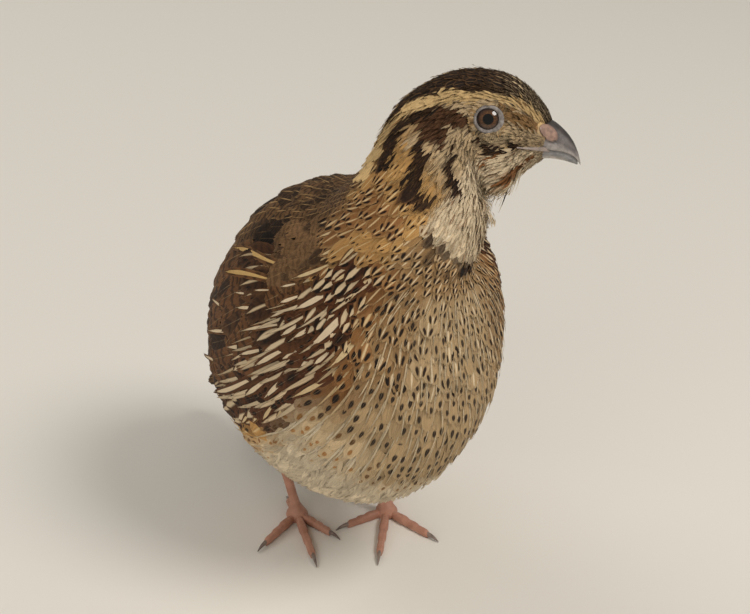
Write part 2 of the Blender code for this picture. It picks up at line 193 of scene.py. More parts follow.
def body_surface(along, around):
    """The posed loft, running straight on past its last station along its slope there."""
    along, around = np.broadcast_arrays(np.asarray(along, float), np.asarray(around, float))
    inside = np.clip(along, 0.0, LAST_STATION)
    points = posed(straight_surface(inside, around), inside)
    past = along > LAST_STATION
    if past.any():
        step = 0.05
        before = np.full(past.sum(), LAST_STATION - step)
        slope = (points[past] - posed(straight_surface(before, around[past]), before)) / step
        points[past] += slope * (along[past] - LAST_STATION)[:, None]
    return points


def slopes_of(surface, along, around):
    """How a surface moves per station along and per radian around, from small steps both ways."""
    step = 0.01
    forth = surface(along + step, around) - surface(np.maximum(along - step, 0), around)
    spans = along + step - np.maximum(along - step, 0)
    aside = surface(along, around + step) - surface(along, around - step)
    return forth / spans[..., None], aside / (2 * step)


def unit(vectors):
    """Vectors over their own lengths."""
    return vectors / np.maximum(np.linalg.norm(vectors, axis=-1, keepdims=True), 1e-9)


def normals_of(surface, along, around):
    """The cross product of a surface's two slopes, one long."""
    forth, aside = slopes_of(surface, along, around)
    return unit(np.cross(aside, forth))


def on_head(points):
    """Points given from the eye as aside, forward and up, moved onto the posed head."""
    points = np.asarray(points, float)
    straight = np.stack([points[..., 0], -(EYE_FORWARD + points[..., 1]), EYE_HEIGHT + points[..., 2]], -1)
    return posed(straight, np.zeros(points.shape[:-1]))


HEAD_ORIGIN = on_head([0.0, 0.0, 0.0])
HEAD_AXES = np.array([on_head(step) for step in np.eye(3)]) - HEAD_ORIGIN

# The least area that two slopes may span when they are solved for a place, so that no step is huge.
LEAST_AREA = 0.5


def place_on_head(forward, up, side):
    """Stations and angles of the points of the loft that lie forward and up of the eye: from the nearest
    place of a coarse grid, the slopes there give the step that would close the gap, six times over."""
    grid_along, grid_around = np.meshgrid(np.linspace(0, 7, 71), side * np.radians(np.linspace(8, 172, 83)),
                                          indexing="ij")
    grid = from_eye(body_surface(grid_along, grid_around))[..., 1:].reshape(-1, 2)
    wanted = np.stack([forward, up], -1)
    nearest = ((grid[None] - wanted[:, None]) ** 2).sum(-1).argmin(1)
    along, around = grid_along.ravel()[nearest], grid_around.ravel()[nearest]
    for _ in range(6):
        forth, aside = (slope @ HEAD_AXES.T for slope in slopes_of(body_surface, along, around))
        missing = wanted - from_eye(body_surface(along, around))[..., 1:]
        size = forth[..., 1] * aside[..., 2] - forth[..., 2] * aside[..., 1]
        size = np.where(np.abs(size) < LEAST_AREA, np.copysign(LEAST_AREA, size), size)
        along = along + (missing[..., 0] * aside[..., 2] - missing[..., 1] * aside[..., 1]) / size
        around = around + (forth[..., 1] * missing[..., 1] - forth[..., 2] * missing[..., 0]) / size
        along = np.clip(along, 0, 8)
    return along, around


def from_eye(points):
    """Posed points as aside, forward and up from the middle between the eyes."""
    return (points - HEAD_ORIGIN) @ HEAD_AXES.T


def coat_depth(along):
    """How far the skin lies under the coat."""
    return curve_through(COAT_DEPTH, np.clip(along, 0, LAST_STATION))


def degrees_round(around):
    """How many degrees from the middle of the back an angle lies, on either side."""
    return np.degrees(np.abs(np.angle(np.exp(1j * np.asarray(around)))))


# Feather kinds. The colours are the vane's ground, its shaft streak, its dark marks and its rim. The number
# after each is the streak's half width as a share of the vane's, and the strength of the spots, of the
# cross bars and of the rim. The last number is how often a vane is darker than its neighbours.
def kind(ground, shaft, dark, rim, speckle):
    """The seventeen numbers of one kind, in the order told above."""
    return np.array([*ground, *shaft, *dark, *rim, speckle], float)


KINDS = {
    "cheek": kind((0.50, 0.35, 0.19, 0.18), (0.66, 0.51, 0.32, 0.0), (0.040, 0.020, 0.010, 0.1),
                  (0.70, 0.54, 0.34, 0.45), 0.27),
    "crown": kind((0.017, 0.010, 0.007, 0.07), (0.20, 0.11, 0.045, 0.0), (0.010, 0.007, 0.005, 0.3),
                  (0.20, 0.105, 0.045, 0.5), 0.3),
    "hind neck": kind((0.13, 0.066, 0.026, 0.15), (0.52, 0.36, 0.17, 0.7), (0.016, 0.010, 0.007, 0.2),
                      (0.34, 0.205, 0.09, 0.45), 0.15),
    "middle": kind((0.50, 0.33, 0.16, 0.0), (0.60, 0.45, 0.25, 0.0), (0.05, 0.025, 0.012, 0.0),
                   (0.56, 0.42, 0.23, 0.2), 0.30),
    "forehead": kind((0.035, 0.021, 0.013, 0.36), (0.60, 0.45, 0.26, 0.0), (0.016, 0.010, 0.007, 0.0),
                     (0.16, 0.095, 0.045, 0.3), 0.3),
    "brow": kind((0.62, 0.42, 0.19, 0.0), (0.68, 0.50, 0.26, 0.0), (0.26, 0.13, 0.045, 0.0),
                 (0.68, 0.50, 0.26, 0.3), 0.05),
    "ear": kind((0.075, 0.033, 0.015, 0.20), (0.17, 0.085, 0.04, 0.0), (0.022, 0.012, 0.007, 0.2),
                (0.14, 0.065, 0.03, 0.35), 0.30),
    "black": kind((0.028, 0.015, 0.009, 0.0), (0.05, 0.03, 0.02, 0.0), (0.010, 0.007, 0.005, 0.2),
                  (0.17, 0.085, 0.036, 0.5), 0.35),
    "lore": kind((0.30, 0.165, 0.065, 0.2), (0.10, 0.05, 0.02, 0.0), (0.06, 0.03, 0.013, 0.1),
                 (0.46, 0.30, 0.14, 0.45), 0.35),
    "barred": kind((0.42, 0.31, 0.18, 0.0), (0.50, 0.38, 0.22, 0.0), (0.022, 0.013, 0.008, 0.6),
                   (0.50, 0.38, 0.22, 0.2), 0.42),
    "rufous": kind((0.27, 0.11, 0.035, 0.0), (0.36, 0.17, 0.07, 0.0), (0.10, 0.04, 0.015, 0.2),
                   (0.36, 0.18, 0.07, 0.3), 0.2),
    "throat": kind((0.68, 0.53, 0.34, 0.2), (0.80, 0.69, 0.50, 0.0), (0.24, 0.11, 0.04, 0.0),
                   (0.80, 0.67, 0.47, 0.45), 0.13),
    "neck": kind((0.44, 0.24, 0.080, 0.10), (0.66, 0.48, 0.24, 0.8), (0.016, 0.010, 0.007, 0.0),
                 (0.56, 0.36, 0.15, 0.35), 0.0),
    "tawny": kind((0.46, 0.25, 0.085, 0.08), (0.66, 0.48, 0.25, 0.15), (0.03, 0.018, 0.012, 0.0),
                  (0.56, 0.35, 0.15, 0.35), 0.0),
    "spotted": kind((0.235, 0.108, 0.038, 0.17), (0.62, 0.44, 0.23, 1.35), (0.018, 0.011, 0.008, 0.0),
                    (0.46, 0.29, 0.125, 0.4), 0.0),
    "breast": kind((0.28, 0.165, 0.072, 0.15), (0.66, 0.51, 0.32, 1.35), (0.020, 0.013, 0.010, 0.0),
                   (0.50, 0.34, 0.17, 0.35), 0.0),
    "low breast": kind((0.40, 0.275, 0.145, 0.13), (0.68, 0.55, 0.365, 1.0), (0.030, 0.019, 0.013, 0.0),
                       (0.60, 0.46, 0.28, 0.35), 0.0),
    "flank": kind((0.085, 0.029, 0.012, 0.34), (0.66, 0.50, 0.31, 1.5), (0.012, 0.007, 0.005, 0.2),
                  (0.16, 0.065, 0.026, 0.35), 0.25),
    "side": kind((0.10, 0.040, 0.017, 0.26), (0.64, 0.50, 0.32, 0.6), (0.016, 0.009, 0.006, 0.35),
                 (0.16, 0.075, 0.032, 0.3), 0.3),
    "covert": kind((0.135, 0.060, 0.024, 0.0), (0.50, 0.36, 0.20, 0.0), (0.020, 0.011, 0.007, 0.7),
                   (0.20, 0.10, 0.042, 0.35), 0.35),
    "mantle": kind((0.125, 0.066, 0.029, 0.07), (0.42, 0.26, 0.11, 0.0), (0.018, 0.011, 0.007, 0.7),
                   (0.22, 0.125, 0.055, 0.4), 0.3),
    "shoulder": kind((0.175, 0.095, 0.043, 0.0), (0.42, 0.26, 0.11, 0.0), (0.035, 0.02, 0.012, 0.4),
                     (0.24, 0.14, 0.065, 0.4), 0.15),
    "dark": kind((0.026, 0.015, 0.009, 0.0), (0.30, 0.18, 0.08, 0.0), (0.010, 0.007, 0.005, 0.5),
                 (0.075, 0.038, 0.017, 0.35), 0.3),
    "belly": kind((0.60, 0.495, 0.345, 0.0), (0.74, 0.62, 0.45, 0.0), (0.38, 0.20, 0.07, 0.0),
                  (0.70, 0.60, 0.45, 0.3), 0.0),
    "apricot": kind((0.54, 0.40, 0.235, 0.16), (0.74, 0.62, 0.44, 0.7), (0.36, 0.17, 0.05, 0.0),
                    (0.66, 0.52, 0.33, 0.4), 0.0),
    "tail": kind((0.11, 0.056, 0.025, 0.08), (0.50, 0.34, 0.16, 0.0), (0.018, 0.011, 0.007, 0.85),
                 (0.22, 0.125, 0.055, 0.3), 0.25),
}

# The shield over the nostril: forward and up from the eye to its middle, its half length and half height,
# and how it leans down to the front.
OPERCULUM = (14.15, -2.75, 2.8, 1.7)
OPERCULUM_LEAN = math.radians(-38.0)

# How far around from the middle of the back the dark crown and hind neck reach, at each station.
CROWN_EDGE = (60.0, 58.0, 58.0, 58.0, 58.0, 52.0, 27.0, 16.0, 10.0)
# Its last station and softness, and how far inside its edge its feathers stop, in degrees. Then the
# forehead's last station, and where the pale middle line starts and how wide it is.
CROWN_END, CROWN_SOFT, FEATHER_EDGE = 8.0, (0.8, 5.0), 13.0
FOREHEAD_END, FOREHEAD_SOFT = 2.8, 1.6
MIDDLE_START, MIDDLE_WIDTH, MIDDLE_SOFT = 3.4, 5.0, (1.0, 2.5)

# Markings in bands: kind, stations from and to, degrees around from and to, and the softness of both.
# Limits beyond the middle of the back or belly keep a band whole there. Later marks lie over earlier ones.
BODY_MARKS = (
    ("cheek", (-1.0, 5.9), (-12.0, 192.0), (0.6, 9.0)),
    ("spotted", (6.6, 9.0), (52.0, 100.0), (0.4, 9.0)),
    ("tawny", (7.2, 8.6), (78.0, 104.0), (0.35, 9.0)),
    ("hind neck", (5.8, 8.4), (-12.0, 46.0), (0.4, 12.0)),
    ("breast", (6.4, 11.9), (108.0, 192.0), (0.3, 9.0)),
    ("low breast", (10.2, 12.4), (108.0, 192.0), (1.0, 9.0)),
    ("low breast", (7.8, 11.0), (152.0, 192.0), (0.8, 16.0)),
    ("spotted", (7.6, 10.9), (100.0, 130.0), (0.4, 9.0)),
    ("flank", (7.9, 12.6), (88.0, 118.0), (0.3, 8.0)),
    ("side", (9.2, 14.2), (78.0, 106.0), (0.4, 7.0)),
    ("mantle", (7.6, 17.0), (-12.0, 54.0), (0.5, 8.0)),
    ("covert", (9.4, 16.4), (48.0, 86.0), (0.4, 7.0)),
    ("shoulder", (8.6, 10.4), (44.0, 78.0), (0.3, 8.0)),
    ("dark", (10.0, 11.2), (40.0, 58.0), (0.3, 6.0)),
    ("apricot", (11.3, 13.6), (114.0, 150.0), (0.4, 8.0)),
    ("belly", (12.0, 17.2), (118.0, 192.0), (0.6, 10.0)),
    ("apricot", (14.0, 17.0), (92.0, 120.0), (0.5, 9.0)),
    ("tail", (15.8, 20.0), (-12.0, 192.0), (0.5, 9.0)),
)

# Feathers with a bold pale streak: its look, its stations and degrees at its start and at its tip, and its
# half width.
STREAKS = (
    ("buff", 8.48, 85, 9.49, 78, 0.8), ("buff", 8.11, 98, 8.62, 96, 0.8), ("cream", 8.60, 99, 9.82, 90, 1.0),
    ("buff", 7.92, 109, 8.62, 110, 0.8), ("cream", 8.54, 114, 9.98, 106, 1.2),
    ("cream", 9.62, 86, 10.02, 84, 0.8), ("cream", 10.03, 87, 10.46, 86, 0.6),
    ("cream", 9.56, 80, 9.89, 78, 0.5), ("cream", 10.41, 90, 11.30, 83, 0.7),
    ("cream", 9.97, 95, 10.47, 94, 0.95), ("cream", 9.79, 100, 10.24, 98, 0.95),
    ("cream", 10.87, 79, 11.31, 74, 0.75), ("cream", 11.00, 72, 11.31, 68, 0.5),
    ("cream", 10.36, 75, 10.68, 73, 0.4), ("cream", 11.90, 69, 12.39, 59, 0.7),
    ("cream", 11.73, 79, 12.77, 68, 0.85), ("cream", 11.55, 87, 12.01, 82, 1.05),
    ("cream", 11.24, 92, 11.69, 88, 0.95), ("cream", 10.68, 98, 11.43, 95, 1.05),
    ("cream", 12.65, 83, 13.58, 72, 0.85), ("cream", 11.85, 96, 13.42, 89, 1.2),
    ("cream", 11.58, 100, 12.09, 99, 1.2), ("cream", 10.44, 102, 10.87, 100, 0.9),
    ("cream", 9.89, 113, 10.28, 111, 1.0), ("cream", 10.21, 108, 10.63, 107, 0.9),
    ("buff", 9.02, 125, 9.95, 118, 1.2), ("cream", 11.00, 105, 11.74, 104, 1.2),
    ("buff", 11.49, 111, 11.90, 111, 1.2), ("buff", 11.90, 107, 12.27, 108, 1.2),
    ("buff", 12.28, 105, 12.65, 106, 1.0), ("buff", 12.72, 102, 13.22, 104, 1.0),
    ("buff", 10.09, 120, 11.19, 112, 1.1), ("gold", 10.00, 65, 11.39, 48, 1.0),
    ("gold", 10.43, 69, 11.39, 59, 1.0), ("buff", 7.88, 68, 8.53, 65, 0.6),
    ("buff", 7.94, 80, 8.62, 77, 0.7), ("buff", 7.40, 85, 8.24, 89, 0.8),
)
# The streak's half width as a share of its vane's, its colour, and how far over the coat the vane lies.
STREAK_LOOKS = {"cream": (0.55, 0.72, 0.57, 0.38, 0.0), "buff": (0.5, 0.66, 0.49, 0.27, 0.0),
                "gold": (0.55, 0.56, 0.36, 0.14, 1.3)}
# A vane's width over its row's, how far its tip runs past the row's, the share of it that lies under its
# neighbours, and the strongest spots it keeps.
STREAK_VANE, STREAK_REACH, STREAK_HIDDEN, MOST_SPOTS = 1.102, 0.06, 0.35, 0.6

# Markings on the head and upper neck: kind, and strokes given forward and up from the eye with their
# half width. The strokes cross from the face to the neck, which turns away from the head's own plane.
HEAD_MARKS = (
    ("brow", ((12.6, -0.4, 0.7), (9.9, 2.1, 1.0), (6.8, 4.0, 1.2), (2.8, 4.9, 1.0), (-1.1, 5.4, 0.9),
              (-5.0, 5.1, 1.5), (-9.0, 5.2, 1.6), (-12.9, 4.5, 1.45), (-16.8, 2.5, 1.5), (-20.8, -0.4, 1.6),
              (-23.5, -3.4, 1.6), (-25.5, -6.9, 1.6), (-28.2, -10.9, 1.3), (-31.0, -14.4, 0.9))),
    ("lore", ((2.8, 2.7, 0.9), (5.2, 0.9, 1.5), (8.0, -0.3, 1.7), (10.7, -1.4, 1.3))),
    ("ear", ((-5.2, -1.6, 0.7), (-8.2, -0.2, 1.9), (-11.3, 0.5, 2.6), (-14.1, 0.2, 2.0))),
    ("ear", ((-11.3, -0.6, 2.4), (-12.9, -3.4, 2.5), (-11.3, -5.7, 1.6))),
    ("ear", ((-14.6, -0.6, 2.0), (-15.6, -2.4, 1.7), (-14.8, -4.6, 1.5))),
    ("black", ((-13.5, 1.9, 0.8), (-16.8, 0.2, 1.1), (-19.6, -1.0, 1.1), (-21.9, -3.8, 1.15),
               (-23.3, -6.9, 1.35), (-24.1, -10.1, 1.4), (-25.1, -12.4, 0.9))),
    ("cheek", ((-18.3, -4.6, 0.9), (-18.7, -6.8, 1.0))),
    ("black", ((-16.2, -7.3, 1.45), (-15.6, -10.5, 1.6), (-17.0, -13.6, 1.6), (-17.8, -16.7, 1.6),
               (-16.4, -19.1, 1.6), (-14.5, -21.1, 1.1))),
    ("black", ((-9.0, -6.3, 0.6), (-8.5, -9.3, 0.95), (-9.2, -12.0, 1.05), (-8.8, -14.8, 1.2),
               (-7.4, -16.9, 1.1), (-5.4, -18.5, 0.6))),
    ("barred", ((-4.2, -2.6, 0.8), (-1.9, -4.2, 0.95), (0.9, -4.6, 0.95), (3.6, -4.4, 0.85),
                (5.2, -3.8, 0.5))),
    ("black", ((-2.9, -5.1, 0.5), (-1.1, -6.3, 0.9), (0.9, -7.5, 1.1), (2.8, -7.3, 1.15), (4.8, -6.5, 1.0),
               (7.0, -5.5, 0.5))),
    ("brow", ((3.4, -6.1, 0.2), (4.3, -6.0, 0.4))),
    ("rufous", ((2.8, -8.3, 0.3), (0.9, -9.3, 0.5), (-0.5, -10.1, 0.5), (-2.3, -11.2, 0.4))),
    ("rufous", ((10.7, -8.3, 0.3), (8.7, -9.7, 0.5), (6.8, -11.2, 0.6), (4.8, -13.0, 0.6),
                (3.8, -14.8, 0.3))),
)
# Throat and foreneck, painted as the body's marks but with straight edges, and the ragged dark necklace.
THROAT_MARKS = (((0.8, 4.6), (118.0, 192.0), (0.5, 7.0)), ((4.4, 6.6), (108.0, 192.0), (0.4, 8.0)))
NECKLACE = ((6.5, 7.0), (112.0, 192.0), (0.3, 8.0))
# How soft a stroke's edge is, how far the ripples move strokes and bands, and where the strokes end.
MARK_SOFTNESS, MARK_WOBBLE, BAND_WOBBLE = 0.35, 0.5, 3
STROKES_END, STROKES_SOFT = 7.6, 0.8


def within(values, low, high, soft):
    """One between low and high, easing to nought over the softness centred on each."""
    return eased((values - low) / soft + 0.5) * eased((high - values) / soft + 0.5)


def near_stroke(forward, up, path):
    """One inside a stroke: the distance to each leg of its path is set against the half width there."""
    path = np.array(path)
    start, leg = path[:-1, :2], np.diff(path[:, :2], axis=0)
    away = np.stack([forward, up], -1)[:, None] - start
    share = np.clip((away * leg).sum(-1) / (leg**2).sum(-1), 0, 1)
    distance = np.linalg.norm(away - share[..., None] * leg, axis=-1)
    half = path[:-1, 2] + share * np.diff(path[:, 2])
    return eased(((half - distance) / MARK_SOFTNESS).max(1) + 0.5)


def ripple(a, b):
    """A smooth uneven wave over two numbers, from about minus one to one."""
    return (np.sin(2.3 * a + 1.7 * b) + np.sin(-1.9 * a + 3.1 * b + 1.3)
            + np.sin(4.1 * a + 0.7 * b + 2.9)) / 3


def coat_kinds(along, around):
    """The feather kind at each place, painted mark over mark: each mark moves the kinds there towards its
    own by its share at that place. The left side mirrors the right, and ripples waver the edges."""
    degrees = degrees_round(around)
    _, forward, up = from_eye(body_surface(along, -np.radians(degrees))).T
    wave = ripple(along * 6, degrees / 6) * MARK_WOBBLE
    forward, up = forward + wave, up + ripple(degrees / 5, along * 7) * MARK_WOBBLE
    kinds = np.tile(KINDS["neck"], (len(along), 1))

    def paint(mask, name):
        kinds[:] = kinds + mask[:, None] * (KINDS[name] - kinds)

    def band(stations, spread, soft, wobble=0):
        return within(along, *stations, soft[0]) * within(degrees + wave * wobble, *spread, soft[1])

    for name, *mark in BODY_MARKS:
        paint(band(*mark, BAND_WOBBLE), name)
    for mark in THROAT_MARKS:
        paint(band(*mark), "throat")
    paint(band(*NECKLACE) * eased(ripple(degrees / 3, along * 5) * 2 + 0.6), "black")
    edge = crown_edge(along)
    on_crown = band((-1.0, CROWN_END), (-10.0, edge), CROWN_SOFT)
    paint(on_crown, "crown")
    paint(on_crown * within(along, -1.0, FOREHEAD_END, FOREHEAD_SOFT), "forehead")
    paint(on_crown * band((MIDDLE_START, CROWN_END), (-9.0, MIDDLE_WIDTH), MIDDLE_SOFT), "middle")
    near_head = within(along, -1.0, STROKES_END, STROKES_SOFT)
    for name, path in HEAD_MARKS:
        paint(near_stroke(forward, up, path) * near_head, name)
    return kinds


def crown_edge(along):
    """How far around the dark crown and hind neck reach at each place along."""
    return curve_through(CROWN_EDGE, np.minimum(along, len(CROWN_EDGE) - 1))


def piece_of(name, mesh, material, nodes=()):
    """A finished piece on the one body and the nodes that it stands for."""
    piece = bpy.data.objects.new(name, mesh)
    bpy.context.scene.collection.objects.link(piece)
    mesh.materials.append(material)
    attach(piece, "root")
    if nodes:
        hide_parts(*nodes)
    return piece


def mesh_of(name, points, faces):
    """A smooth mesh from points in millimetres."""
    mesh = bpy.data.meshes.new(name)
    mesh.from_pydata((np.asarray(points) * MM).tolist(), [], faces)
    mesh.shade_smooth()
    return mesh


def colour_attribute(mesh, name, colours):
    """A colour for each vertex, its fourth number one where only three are given."""
    whole = np.ones((len(colours), 4), np.float32)
    whole[:, :colours.shape[1]] = colours
    mesh.color_attributes.new(name, "FLOAT_COLOR", "POINT").data.foreach_set("color", whole.ravel())


def number_attribute(mesh, name, numbers):
    """A number or a vector for each vertex."""
    form, field = ("FLOAT_VECTOR", "vector") if np.ndim(numbers) == 2 else ("FLOAT", "value")
    layer = mesh.attributes.new(name, form, "POINT")
    layer.data.foreach_set(field, np.asarray(numbers, np.float32).ravel())


def uv_map(mesh, name, places, turns=None):
    """A UV map that gives each corner its vertex's place. Turns are how far across and up the map one
    whole turn round the part goes: where a face crosses a seam, its corners past it lie a turn on."""
    corners = np.empty(len(mesh.loops), np.int32)
    mesh.loops.foreach_get("vertex_index", corners)
    spots = np.asarray(places, float)[corners]
    if turns is not None:
        sizes = np.empty(len(mesh.polygons), np.int32)
        mesh.polygons.foreach_get("loop_total", sizes)
        face = np.repeat(np.arange(len(sizes)), sizes)
        furthest = np.zeros((len(sizes), 2))
        np.maximum.at(furthest, face, spots)
        turn = np.asarray(turns, float)[corners]
        spots = spots + np.where(furthest[face] - spots > turn / 2, turn, 0)
    layer = mesh.uv_layers.new(name=name)
    layer.data.foreach_set("uv", spots.astype(np.float32).ravel())


def grid_faces(rows, columns, closed):
    """Quads over a grid of rows and columns, the columns joined round where closed."""
    i, j = np.meshgrid(np.arange(rows - 1), np.arange(columns if closed else columns - 1), indexing="ij")
    k = (j + 1) % columns
    return np.stack([i * columns + j, (i + 1) * columns + j, (i + 1) * columns + k, i * columns + k],
                    -1).reshape(-1, 4)


def tube(rings):
    """Points and faces through closed rings, each end drawn in to its middle point."""
    rings = np.asarray(rings)
    count, around = rings.shape[:2]
    points = np.concatenate([rings.reshape(-1, 3), rings[0].mean(0)[None], rings[-1].mean(0)[None]])
    faces = grid_faces(count, around, True).tolist()
    first, last = count * around, count * around + 1
    for j in range(around):
        k = (j + 1) % around
        faces.append((first, j, k))
        faces.append((last, (count - 1) * around + k, (count - 1) * around + j))
    return points, faces


def outward(mesh):
    """Turns the faces of each closed part of a mesh to point out."""
    work = bmesh.new()
    work.from_mesh(mesh)
    bmesh.ops.recalc_face_normals(work, faces=work.faces)
    work.to_mesh(mesh)
    work.free()
    mesh.shade_smooth()
    return mesh


def one_mesh(name, parts):
    """One mesh of several closed parts, each given as points and faces."""
    faces, start = [], 0
    for points, part_faces in parts:
        faces += [tuple(corner + start for corner in face) for face in part_faces]
        start += len(points)
    return outward(mesh_of(name, np.concatenate([points for points, _ in parts]), faces))


def joined(name, rings):
    """One mesh of several closed tubes."""
    return one_mesh(name, [tube(ring) for ring in rings])


# Shader nodes
def node(tree, kind_name, **settings):
    """A new node with its settings."""
    made = tree.nodes.new(kind_name)
    for name, value in settings.items():
        setattr(made, name, value)
    return made


def feed(tree, made, values):
    """Sets each input of a node from a number, a colour or another node's output."""
    for name, value in values.items():
        if isinstance(value, bpy.types.NodeSocket):
            tree.links.new(value, made.inputs[name])
        else:
            made.inputs[name].default_value = value
    return made


def sums(tree, operation, *values, clamp=False):
    """One step of arithmetic on numbers and other nodes' outputs."""
    made = node(tree, "ShaderNodeMath", operation=operation, use_clamp=clamp)
    feed(tree, made, dict(enumerate(values)))
    return made.outputs[0]


def ramp(tree, value, low, high):
    """Nought at low, one at high, smooth between."""
    made = node(tree, "ShaderNodeMapRange", interpolation_type="SMOOTHSTEP")
    feed(tree, made, {"Value": value, "From Min": low, "From Max": high})
    return made.outputs["Result"]


def blend(tree, share, a, b):
    """The first colour, moved to the second by the share."""
    made = node(tree, "ShaderNodeMix", data_type="RGBA")
    feed(tree, made, {0: share, 6: a, 7: b})
    return made.outputs[2]


def noise(tree, place, scale, detail):
    """Smooth noise, mostly between a third and two thirds."""
    made = node(tree, "ShaderNodeTexNoise")
    feed(tree, made, {"Vector": place, "Scale": scale, "Detail": detail, "Roughness": 0.5})
    return made.outputs["Fac"]


def stretched(tree, place, factors):
    """A place times a factor on each axis."""
    made = node(tree, "ShaderNodeVectorMath", operation="MULTIPLY")
    feed(tree, made, {0: place, 1: factors})
    return made.outputs[0]


def new_group(name, takes, gives):
    """An empty node group with its named inputs and outputs."""
    tree = bpy.data.node_groups.new(name, "ShaderNodeTree")
    for label, form in takes:
        tree.interface.new_socket(label, in_out="INPUT", socket_type=form)
    for label, form in gives:
        tree.interface.new_socket(label, in_out="OUTPUT", socket_type=form)
    return tree, node(tree, "NodeGroupInput"), node(tree, "NodeGroupOutput")


COLOUR, VALUE, VECTOR = "NodeSocketColor", "NodeSocketFloat", "NodeSocketVector"


def vane_marks_group():
    """The marks of one vane. Vane holds across from -1 to 1, along from 0 to 1, and a random number."""
    tree, given, made = new_group(
        "vane marks",
        [("Vane", VECTOR), ("Ground", COLOUR), ("Streak Width", VALUE), ("Shaft", COLOUR), ("Spots", VALUE),
         ("Dark", COLOUR), ("Bars", VALUE), ("Rim", COLOUR), ("Rim Strength", VALUE)],
        [("Color", COLOUR), ("Height", VALUE)])
    take = given.outputs
    parts = feed(tree, node(tree, "ShaderNodeSeparateXYZ"), {0: take["Vane"]}).outputs
    across, along, chance = sums(tree, "ABSOLUTE", parts["X"]), parts["Y"], parts["Z"]
    own_across = sums(tree, "MULTIPLY_ADD", chance, 37.0, parts["X"])
    joined_place = node(tree, "ShaderNodeCombineXYZ")
    place = feed(tree, joined_place, {"X": own_across, "Y": along, "Z": chance}).outputs[0]

    # The ground, shaded by hairs that run along the vane. Wider patches waver all the marks.
    hairs = noise(tree, stretched(tree, place, (5.0, 1.3, 1.0)), 1.6, 3.0)
    patches = noise(tree, stretched(tree, place, (1.0, 2.2, 1.0)), 1.8, 2.0)
    uneven = sums(tree, "SUBTRACT", patches, 0.5)
    scaled = node(tree, "ShaderNodeVectorMath", operation="SCALE")
    shade = sums(tree, "MULTIPLY_ADD", hairs, 1.0, 0.5)
    colour = feed(tree, scaled, {0: take["Ground"], "Scale": shade}).outputs[0]

    # Dark bars across the vane, which lean back towards its edges.
    wave_place = sums(tree, "ADD", sums(tree, "MULTIPLY", along, 34.0), sums(tree, "MULTIPLY", across, -3.0))
    wave = sums(tree, "SINE", sums(tree, "MULTIPLY_ADD", uneven, 9.0, wave_place))
    bars = sums(tree, "MULTIPLY", ramp(tree, wave, -0.2, 0.8), take["Bars"])
    colour = blend(tree, bars, colour, take["Dark"])

    # A dark spot near the tip: one on each side of a pale streak, or one over the shaft where none is.
    spot_size = sums(tree, "MULTIPLY_ADD", take["Spots"], 0.55, 0.45)
    paired = ramp(tree, take["Streak Width"], 0.0, 0.03)
    spot_middle = sums(tree, "SUBTRACT", across, sums(tree, "MULTIPLY", paired, 0.43))
    spot_across = sums(tree, "DIVIDE", spot_middle, sums(tree, "MULTIPLY_ADD", paired, -0.17, 0.35))
    spot_along = sums(tree, "DIVIDE", sums(tree, "SUBTRACT", along, 0.80), 0.115)
    from_spot = sums(tree, "SQRT", sums(tree, "ADD", sums(tree, "POWER", spot_across, 2.0),
                                        sums(tree, "POWER", spot_along, 2.0)))
    from_spot = sums(tree, "DIVIDE", sums(tree, "MULTIPLY_ADD", uneven, 0.9, from_spot), spot_size)
    spots = sums(tree, "MULTIPLY", ramp(tree, from_spot, 1.35, 0.7),
                 ramp(tree, take["Spots"], 0.02, 0.2))
    colour = blend(tree, spots, colour, take["Dark"])

    # The pale streak up the shaft, which widens to the tip and closes there.
    near_tip = sums(tree, "MULTIPLY", sums(tree, "SUBTRACT", 1.0, along), 4.5, clamp=True)
    taper = sums(tree, "POWER", near_tip, 0.5)
    width = sums(tree, "MULTIPLY", sums(tree, "MULTIPLY", take["Streak Width"], taper),
                 sums(tree, "MULTIPLY_ADD", along, 1.0, 0.12))
    inside = sums(tree, "SUBTRACT", sums(tree, "MULTIPLY_ADD", uneven, 0.07, width), across)
    streak = ramp(tree, inside, -0.05, 0.09)
    colour = blend(tree, streak, colour, take["Shaft"])

    # The rim round edge and tip, left out over the streak.
    rim_place = sums(tree, "MAXIMUM", across, sums(tree, "MULTIPLY_ADD", along, 3.0, -2.05))
    rim = ramp(tree, sums(tree, "MULTIPLY_ADD", uneven, 0.3, rim_place), 0.6, 0.95)
    rim = sums(tree, "MULTIPLY", rim, take["Rim Strength"])
    rim = sums(tree, "MULTIPLY", rim, sums(tree, "SUBTRACT", 1.0, streak))
    colour = blend(tree, rim, colour, take["Rim"])

    # The relief: barbs that slant out from the shaft, and the shaft as a ridge.
    barb_place = sums(tree, "MULTIPLY_ADD", across, -16.0, sums(tree, "MULTIPLY", along, 62.0))
    barbs = sums(tree, "MULTIPLY_ADD", sums(tree, "SINE", barb_place), 0.25, hairs)
    height = sums(tree, "ADD", barbs, sums(tree, "MULTIPLY", ramp(tree, across, 0.12, 0.0), 0.5))
    tree.links.new(colour, made.inputs["Color"])
    tree.links.new(height, made.inputs["Height"])
    return tree


